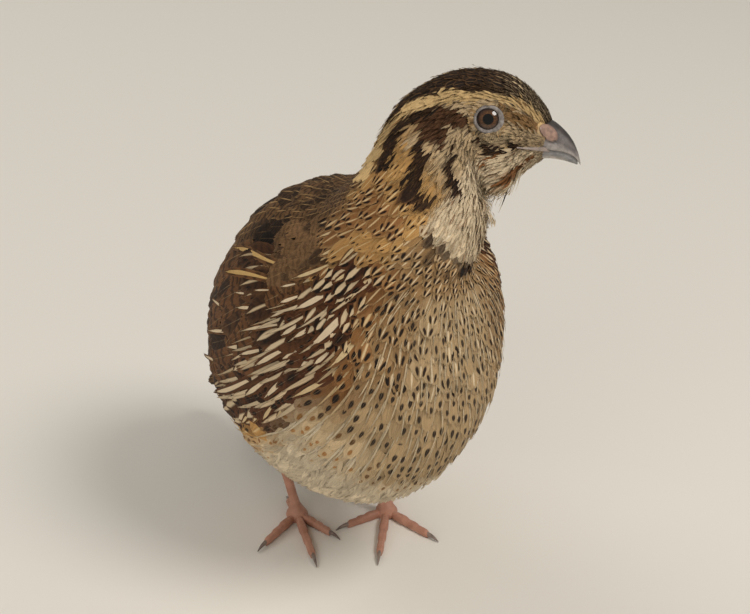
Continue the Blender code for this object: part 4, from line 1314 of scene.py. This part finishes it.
# Skin
def skin_points():
    """The loft drawn in along its normals by the coat's depth, and sunk at the eyes."""
    along = np.concatenate([np.linspace(0, 6, SKIN_RINGS // 2, endpoint=False),
                            np.linspace(6, LAST_STATION, SKIN_RINGS // 2)])
    around = np.linspace(-math.pi, math.pi, SKIN_AROUND, endpoint=False)
    along, around = np.meshgrid(along, around, indexing="ij")
    drawn_in = normals_of(body_surface, along, around) * coat_depth(along)[..., None]
    points = body_surface(along, around) - drawn_in
    aside, forward, up = np.moveaxis(from_eye(points), -1, 0)
    near = eased((SOCKET_RADIUS + SOCKET_WALL - np.hypot(forward, up)) / SOCKET_WALL)
    near = near * (np.abs(aside) > EYE_ASIDE) * (along < 6)
    inward = np.maximum(np.abs(aside) - SOCKET_FLOOR, 0) * near * np.sign(aside)
    return along, around, points - inward[..., None] * HEAD_AXES[0]


def skin_colours(along, around):
    """The coat's ground colours, darkened where its dark marks are strong."""
    kinds = coat_kinds(along.ravel(), around.ravel())
    share = (0.35 * kinds[:, 11] + 0.25 * kinds[:, 7])[:, None]
    return kinds[:, 0:3] * (1 - share) + kinds[:, 8:11] * share


# The lid's points round the eye and round its section, and how deep a thigh's skin lies under its coat.
LID_TURNS, LID_SECTION, THIGH_DEPTH = 96, 20, 0.8


def lid_points(side):
    """A ring round the eye, thickest behind and below, its edge finely uneven."""
    turn = np.linspace(0, 2 * math.pi, LID_TURNS, endpoint=False)[:, None]
    section = np.linspace(0, 2 * math.pi, LID_SECTION, endpoint=False)[None]
    thick = 1.05 + 0.30 * np.cos(turn + 0.6) + 0.05 * np.sin(23 * turn) + 0.03 * np.sin(41 * turn + 1)
    radius = LID_RADIUS + LID_WIDTH * thick * np.cos(section)
    aside = LID_ASIDE + LID_HEIGHT * thick * np.sin(section)
    forward, up = radius * 1.03 * np.cos(turn), radius * 0.97 * np.sin(turn)
    ring = on_head(np.stack([side * aside, forward, up], -1))
    faces = grid_faces(LID_TURNS + 1, LID_SECTION, True) % (LID_TURNS * LID_SECTION)
    return ring.reshape(-1, 3), faces[:, ::-1] if side > 0 else faces


def leg_middle(foot, height):
    """The middle of a leg at each height: upright over the foot, then leaning to the hock."""
    base, hock = np.array(foot["base"]), np.array(foot["hock"])
    share = np.maximum(0, (height - SHANK_STRAIGHT) / (hock[2] - SHANK_STRAIGHT))[..., None]
    return base + share * (hock[:2] - base) + (CENTRE_X, CENTRE_Y)


def thigh_surface(foot):
    """The thigh as a surface of its own, from under the belly down to the shank."""
    def surface(along, around):
        along, around = np.broadcast_arrays(np.asarray(along, float), np.asarray(around, float))
        height, across, deep = np.moveaxis(
            curve_through(THIGH_SECTIONS, np.clip(along, 0, len(THIGH_SECTIONS) - 1)), -1, 0)
        height = height - 1.7 * np.maximum(along - (len(THIGH_SECTIONS) - 1), 0)
        middle = leg_middle(foot, height)
        return np.stack([middle[..., 0] - across * np.sin(around), middle[..., 1] - deep * np.cos(around),
                         height], -1)
    return surface


def capped(values):
    """The values of a tube's points: those of its rings, then of the middles of its first and last end."""
    return np.concatenate([values, values[:1], values[-1:]])


def add_skin(material):
    """The body, the thighs and the lids as one mesh, each part with its colours, its place on the map and
    how much of the map a turn round it takes."""
    along, around, points = skin_points()
    parts = [(tube(points), capped(skin_colours(along, around)),
              capped(bake_places(along.ravel(), around.ravel())), (1 - 2 * MAP_EDGE, NO_SEAM), 0.0)]
    for name, foot in FEET.items():
        surface = thigh_surface(foot)
        rows, turns = np.meshgrid(np.linspace(0, 6, 30), np.linspace(-math.pi, math.pi, 28, endpoint=False),
                                  indexing="ij")
        leg = tube(surface(rows, turns) - normals_of(surface, rows, turns) * THIGH_DEPTH)
        places = patch_places("thigh_" + name, rows.ravel() / 6, turns.ravel() / (2 * math.pi) + 0.5)
        parts.append((leg, np.tile(KINDS["belly"][:3], (len(leg[0]), 1)), capped(places),
                      (PATCH_WIDTH, NO_SEAM), 0.0))
        lid, lid_faces = lid_points(SIDES[name])
        turn, section = np.meshgrid(np.arange(LID_TURNS) / LID_TURNS, np.arange(LID_SECTION) / LID_SECTION,
                                    indexing="ij")
        parts.append(((lid, lid_faces.tolist()), np.tile((0.25, 0.22, 0.2), (len(lid), 1)),
                      patch_places("lid_" + name, section.ravel(), turn.ravel()),
                      (PATCH_WIDTH, PATCH_HIGH - PATCH_LOW), 1.0))
    mesh = one_mesh("skin", [part[0] for part in parts])
    colours, places = (np.concatenate([part[i] for part in parts]) for i in (1, 2))
    turns, bare = (np.concatenate([np.tile(part[i], (len(part[1]), 1)) for part in parts]) for i in (3, 4))
    colour_attribute(mesh, "ground", colours)
    uv_map(mesh, "OFBake", places, turns)
    number_attribute(mesh, "bare", bare[:, 0])
    nodes = ["head", "neck", "trunk", "tail"]
    nodes += [part + side for part in ("wing_", "thigh_") for side in SIDES]
    piece_of("skin", mesh, material, nodes)


def add_thighs(material):
    """Short plain feathers down the thighs."""
    template = vane_template(8, 9, 0.3, 0.12)
    for name, foot in FEET.items():
        rng = np.random.default_rng(71 + SIDES[name])
        rows, columns = 13, 14
        along = np.repeat(np.linspace(0.3, 5.75, rows), columns) + rng.normal(0, 0.05, rows * columns)
        column = (np.arange(columns)[None] + 0.5 * (np.arange(rows)[:, None] % 2)).ravel()
        around = column / columns * 2 * math.pi + rng.normal(0, 0.05, len(along))
        surface = thigh_surface(foot)
        per_around = local_frame(along, around, surface)[2]
        size = np.clip(per_around * 2 * math.pi / columns * 1.5, 1.4, 5.0)
        length = 2.6 + 3.2 * eased((6 - along) / 4)
        points = lay_vanes((along, around), (length, size), template, rng, surface=surface,
                           depth=THIGH_DEPTH)
        kinds = shaded(np.tile(KINDS["belly"] * 0.6 + KINDS["apricot"] * 0.4, (len(along), 1)), rng)
        kinds[:, [3, 7]] = 0
        places = patch_places("thigh_" + name, along / 6, around / (2 * math.pi) + 0.5)
        mesh = vane_mesh("coat_thigh_" + name, points, template, kinds, places, rng.random(len(along)))
        piece_of("coat_thigh_" + name, mesh, material)


def scutes(distance):
    """Plates along a leg: flat tops with narrow grooves between."""
    return np.abs(np.sin(math.pi * distance / SCUTE_GAP)) ** 0.4


def section_at(sections, places):
    """The sizes of a section at each place, which each row's first number gives, on a smooth curve."""
    sections = np.array(sections)
    return curve_through(sections, np.interp(places, sections[:, 0], np.arange(len(sections)))).T[1:]


def shank_rings(foot, facing):
    """The shank as ellipses up its height, with plates raised over its front."""
    height = np.linspace(0, SHANK_SECTIONS[-1][0], 150)
    turn = np.linspace(0, 2 * math.pi, 40, endpoint=False)
    across, deep = section_at(SHANK_SECTIONS, height)
    ahead = np.array([-math.sin(facing), -math.cos(facing)])
    front = np.clip(ahead[0] * np.sin(turn) - ahead[1] * -np.cos(turn), 0, 1)
    rise = SCUTE_RISE * scutes(height)[:, None] * eased(front * 2)[None] * (height > 2)[:, None]
    middle = leg_middle(foot, height)
    x = middle[:, :1] + (across[:, None] + rise) * np.sin(turn)
    y = middle[:, 1:] - (deep[:, None] + rise) * np.cos(turn)
    z = np.broadcast_to(height[:, None], x.shape)
    return np.stack([x, y, z], -1)


def toe_ring(foot, heading, far, half, low, high, turn):
    """Rings across a toe: the far distance ahead of the foot, half widths, and lowest and highest."""
    angle = math.radians(heading)
    ahead = np.array([-math.sin(angle), -math.cos(angle)])
    origin = np.array(foot["base"]) + (CENTRE_X, CENTRE_Y)
    aside = np.array([-ahead[1], ahead[0]])
    flat = origin + far[:, None, None] * ahead + (half * np.cos(turn))[..., None] * aside
    height = np.clip((low + high) / 2 + (high - low) / 2 * 1.15 * np.sin(turn), low, high)
    return np.concatenate([flat, height[..., None]], -1)


def toe_rings(foot, heading, reach):
    """A toe on its flat sole, with plates across its top and swellings at its joints."""
    share = np.linspace(0, 1, 90)
    turn = np.linspace(0, 2 * math.pi, 24, endpoint=False)[None]
    half, high = section_at(TOE_SECTIONS, share)
    far = TOE_START + (reach - TOE_START) * share
    rise = SCUTE_RISE * scutes(far)[:, None] * eased(np.sin(turn) * 2)
    half, high = np.broadcast_to(half[:, None], rise.shape), high[:, None] + rise
    return toe_ring(foot, heading, far, half, 0.0 * high, high, turn)


def claw_rings(foot, heading, reach, length):
    """A claw from inside its toe's tip: its middle sinks and it thins towards its point."""
    share = np.linspace(0, 1, 24)
    turn = np.linspace(0, 2 * math.pi, 16, endpoint=False)[None]
    half, middle, tall = section_at(CLAW_SECTIONS, share)[..., None]
    far = reach - 0.5 + (length + 0.8) * share
    return toe_ring(foot, heading, far, half + 0 * turn, np.maximum(middle - tall, 0.02), middle + tall, turn)


def add_legs(leg_material, claw_material):
    """Each leg's shank and toes as one piece, and its claws as another."""
    for name, foot in FEET.items():
        toes = foot["toes"]
        rings = [shank_rings(foot, math.radians(toes["middle"][0]))]
        rings += [toe_rings(foot, *toe) for toe in toes.values()]
        nodes = ["shank_" + name] + ["toe_%s_%s" % (toe, name) for toe in toes]
        piece_of("leg_" + name, joined("leg_" + name, rings), leg_material, nodes)
        claws = [claw_rings(foot, *toes[toe], CLAW_LENGTHS[toe]) for toe in toes]
        nodes = ["claw_%s_%s" % (toe, name) for toe in toes]
        piece_of("claws_" + name, joined("claws_" + name, claws), claw_material, nodes)


def add_eyes(material):
    """Round eyeballs whose distance from the gaze colours pupil and iris."""
    polar = np.linspace(0.03, math.pi - 0.03, 60)[:, None]
    turn = np.linspace(0, 2 * math.pi, 72, endpoint=False)[None]
    reach = EYE_RADIUS * np.sin(polar)
    spread = np.where(np.cos(polar) > 0, reach + 0 * turn, EYE_RADIUS)
    spokes = np.stack([np.cos(turn) * 3 + 0 * polar, np.sin(turn) * 3 + 0 * polar, spread * 0.4], -1)
    for name, side in SIDES.items():
        aside = side * (EYE_ASIDE + EYE_RADIUS * np.cos(polar) + 0 * turn)
        rings = on_head(np.stack([aside, reach * np.cos(turn), reach * np.sin(turn)], -1))
        mesh = joined("eyeball_" + name, [rings])
        number_attribute(mesh, "spread", np.append(spread, [0.0, EYE_RADIUS]))
        number_attribute(mesh, "spokes", np.concatenate([spokes.reshape(-1, 3), np.zeros((2, 3))]))
        piece_of("eyeball_" + name, mesh, material, ["eye_" + name])


def eye_material():
    """A dark pupil, a brown iris in fine spokes that darkens outwards, and a wet clear coat."""
    material, tree, shader = new_material("eye", 0.6, 0.0)
    shader.inputs["Coat Weight"].default_value = 1.0
    shader.inputs["Coat Roughness"].default_value = 0.03
    spread = attribute(tree, "spread")["Fac"]
    spokes = noise(tree, attribute(tree, "spokes")["Vector"], 4.0, 3.0)
    iris = blend(tree, ramp(tree, spokes, 0.35, 0.65), (0.050, 0.021, 0.009, 1.0), (0.125, 0.058, 0.023, 1.0))
    iris = blend(tree, ramp(tree, spread, IRIS - 0.75, IRIS + 0.05), iris, (0.022, 0.013, 0.010, 1.0))
    colour = blend(tree, ramp(tree, spread, PUPIL - 0.08, PUPIL + 0.08), (0.002, 0.002, 0.002, 1.0), iris)
    tree.links.new(colour, shader.inputs["Base Color"])
    return material


def bill_rings(sections, fullness):
    """Arches over or under a flat edge: aside and height follow a rounded square's cosine and sine."""
    rows = curve_through(np.array(sections), np.linspace(0, len(sections) - 1, 110))
    forward, top, edge, half = (column[:, None] for column in rows.T)
    turn = np.linspace(0, math.pi, 57)[None]
    round_cos = np.sign(np.cos(turn)) * np.abs(np.cos(turn)) ** (2 / fullness)
    round_sin = np.abs(np.sin(turn)) ** (2 / fullness)
    return forward, top, edge, half, round_cos, round_sin


def bill_closed(aside, forward, up, edge, colours):
    """The arches closed inside the mouth by two more lines half as far aside, at the height of the edge."""
    inner = np.stack([aside[:, -1] * 0.5, forward[:, -1], edge], -1)
    rings = np.concatenate([np.stack([aside, forward, up], -1), inner[:, None],
                            (inner * (-1, 1, 1))[:, None]], 1)
    return on_head(rings), np.concatenate([colours, colours[:, -1:], colours[:, :1]], 1)


def upper_bill():
    """The upper bill: its arches are pushed out under the operculum and in round it, and along the slit of
    the nostril. Its ridge is dark, its edge and tip are pale, and the slit is painted near black as painted
    shade in the nostril's opening."""
    forward, top, gape, half, across, rise = bill_rings(UPPER_BILL, 2.6)
    aside, up = half * across, gape + (top - gape) * rise
    forward = forward + 0 * aside
    out, under = over_operculum(forward, up)
    on_it = eased((1.0 - out) / 0.14)
    slit = np.exp(-((out - 1.0) / 0.11) ** 2) * eased((-under - 0.15) * 3) * (forward < 16.4)
    sunk = 0.7 * (1 - eased((forward - 12.9) / 1.3))
    outward = on_it * 0.42 * (1.1 - 0.5 * out**2) - (1 - on_it) * sunk - 0.4 * slit
    middle = (top + gape) / 2
    length = np.hypot(aside, up - middle) + 1e-6
    aside, up = aside * (1 + outward / length), up + (up - middle) / length * outward
    height = rise + 0 * out
    colours = np.array([0.155, 0.135, 0.13]) + 0 * out[..., None]
    colours = mix_rows(colours, (0.050, 0.041, 0.038), eased((height - 0.50) / 0.4))
    colours = mix_rows(colours, (0.40, 0.36, 0.33), eased((0.36 - height) / 0.34) * 0.85)
    colours = mix_rows(colours, (0.34, 0.315, 0.29), eased((forward - 20.2) / 1.8) * 0.8)
    colours = mix_rows(colours, (0.34, 0.215, 0.165), on_it)
    colours = mix_rows(colours, (0.17, 0.10, 0.08), eased((out - 0.72) / 0.3) * on_it * 0.5)
    # The nostril's slit, only sunk a little, is painted near black: painted shade inside its opening.
    colours = mix_rows(colours, (0.022, 0.016, 0.014), slit)
    return bill_closed(aside, forward, up, gape[:, 0] + 0.3, colours)


def mix_rows(colours, other, share):
    """Colours moved towards another by a share each."""
    return colours + share[..., None] * (np.array(other) - colours)


def lower_bill():
    """The lower bill, paler underneath towards its base."""
    forward, top, bottom, half, across, drop = bill_rings(LOWER_BILL, 2.3)
    aside, up = half * across, top + (bottom - top) * drop
    forward = forward + 0 * aside
    colours = np.array([0.23, 0.225, 0.225]) + 0 * forward[..., None]
    colours = mix_rows(colours, (0.46, 0.41, 0.36), eased((drop - 0.55) / 0.4) * eased((19.5 - forward) / 4))
    return bill_closed(aside, forward, up, top[:, 0] + 0.1, colours)


GAPE_RINGS, GAPE_SIDES, GAPE_COLOUR = 40, 14, (0.28, 0.225, 0.195)


def gape_rings(side):
    """The bare skin at the corner of the mouth: a low ridge on the face that swells towards the bill."""
    path = curve_through(GAPE, np.linspace(0, len(GAPE) - 1, GAPE_RINGS))
    along, around = place_on_head(path[:, 0], path[:, 1], side)
    middle = body_surface(along, around)
    out = normals_of(body_surface, along, around)
    up = np.broadcast_to(HEAD_AXES[2], out.shape)
    size = 0.18 + 0.34 * eased(np.linspace(0, 1.3, GAPE_RINGS))
    turn = np.linspace(0, 2 * math.pi, GAPE_SIDES, endpoint=False)
    return (middle[:, None] + out[:, None] * (0.22 + size[:, None, None] * 0.9 * np.sin(turn)[None, :, None])
            + up[:, None] * size[:, None, None] * np.cos(turn)[None, :, None])


def add_bill(material):
    """Both halves of the bill, the upper one with the skin at the corners of the mouth."""
    gapes = [(gape_rings(side), np.tile(GAPE_COLOUR, (GAPE_RINGS, GAPE_SIDES, 1))) for side in SIDES.values()]
    for name, parts, slot, covered in (("bill_top", [upper_bill()] + gapes, "bill_horn", "bill_upper"),
                                       ("bill_bottom", [lower_bill()], "lower_bill_horn", "bill_lower")):
        mesh = joined(name, [rings for rings, _ in parts])
        flat = [np.concatenate([colours.reshape(-1, 3), colours[0, :1], colours[-1, :1]])
                for _, colours in parts]
        colour_attribute(mesh, "ground", np.concatenate(flat))
        piece_of(name, mesh, material, [covered])


def add_camera():
    """The camera looks at its target from its azimuth, elevation and distance."""
    azimuth, elevation = math.radians(CAMERA_AZIMUTH), math.radians(CAMERA_ELEVATION)
    back = Vector((math.sin(azimuth) * math.cos(elevation), -math.cos(azimuth) * math.cos(elevation),
                   math.sin(elevation)))
    right = Vector((0, 0, 1)).cross(back).normalized()
    turned = Matrix((right, back.cross(right), back)).transposed().to_4x4()
    camera = bpy.data.objects.new("camera", bpy.data.cameras.new("camera"))
    camera.matrix_world = Matrix.Translation((Vector(CAMERA_TARGET) + back * CAMERA_DISTANCE) * MM) @ turned
    camera.data.lens, camera.data.sensor_width = CAMERA_LENS, SENSOR_WIDTH
    camera.data.clip_start = 0.01
    bpy.context.scene.collection.objects.link(camera)
    bpy.context.scene.camera = camera


def add_light(name, place, size, power, colour, mirrored=False):
    """A soft round light that faces the model's foot."""
    light = bpy.data.lights.new(name, "AREA")
    light.shape, light.size, light.energy, light.color = "DISK", size, power, colour
    lamp = bpy.data.objects.new(name, light)
    lamp.location = place
    lamp.rotation_euler = (-Vector(place)).to_track_quat("-Z", "Y").to_euler()
    lamp.visible_glossy = mirrored
    bpy.context.scene.collection.objects.link(lamp)


FLOOR_HALF = 2000.0


def add_studio():
    """A pale floor, pale surroundings and three soft lights. Only the key light mirrors in the eye."""
    add_light("key_light", (0.30, -0.70, 1.0), 0.45, 7.5, (1.0, 0.97, 0.93), mirrored=True)
    add_light("fill_light", (-0.9, -0.6, 0.5), 1.0, 3.2, (1.0, 0.98, 0.95))
    add_light("back_light", (-0.3, 0.8, 0.8), 0.8, 3.0, (1.0, 0.98, 0.95))
    world = bpy.data.worlds.new("studio")
    world.use_nodes = True
    world.node_tree.nodes["Background"].inputs["Color"].default_value = (1.0, 0.97, 0.92, 1.0)
    world.node_tree.nodes["Background"].inputs["Strength"].default_value = 0.32
    bpy.context.scene.world = world
    bpy.context.scene.view_settings.view_transform = "Standard"
    corners = np.array([(-1, -1, 0), (1, -1, 0), (1, 1, 0), (-1, 1, 0)]) * FLOOR_HALF
    floor = bpy.data.objects.new("floor", mesh_of("floor", corners, [(0, 1, 2, 3)]))
    material, _, shader = new_material("floor", 0.9, 0.2)
    shader.inputs["Base Color"].default_value = (0.80, 0.76, 0.69, 1.0)
    floor.data.materials.append(material)
    bpy.context.scene.collection.objects.link(floor)


def build():
    """Every piece with its material, then the camera and the studio."""
    marks, grain = vane_marks_group(), grain_group()
    plumage = plumage_material("plumage", marks)
    add_skin(grained_material("skin", grain, ((0.17, 0.150, 0.135), (0.30, 0.27, 0.25)), (900.0, 4200.0),
                              (0.7, 0.25), (0.00008, 0.7), under_coat))
    add_coat(plumage)
    add_thighs(plumage)
    add_eyes(eye_material())
    horn = grained_material("bill horn", grain, ((0.72, 0.72, 0.72), (1.1, 1.08, 1.05)), (700.0, 3000.0),
                            (0.26, 0.5), (0.00003, 0.6), own_colour)
    add_bill(horn)
    add_bristles(horn)
    add_legs(grained_material("leg skin", grain, ((0.50, 0.255, 0.175), (0.40, 0.190, 0.125)),
                              (260.0, 1500.0), (0.5, 0.4), (0.00008, 0.7)),
             grained_material("claw horn", grain, ((0.16, 0.12, 0.10), (0.26, 0.20, 0.165)),
                              (500.0, 2500.0), (0.35, 0.4), (0.00004, 0.7)))
    add_camera()
    add_studio()


build()
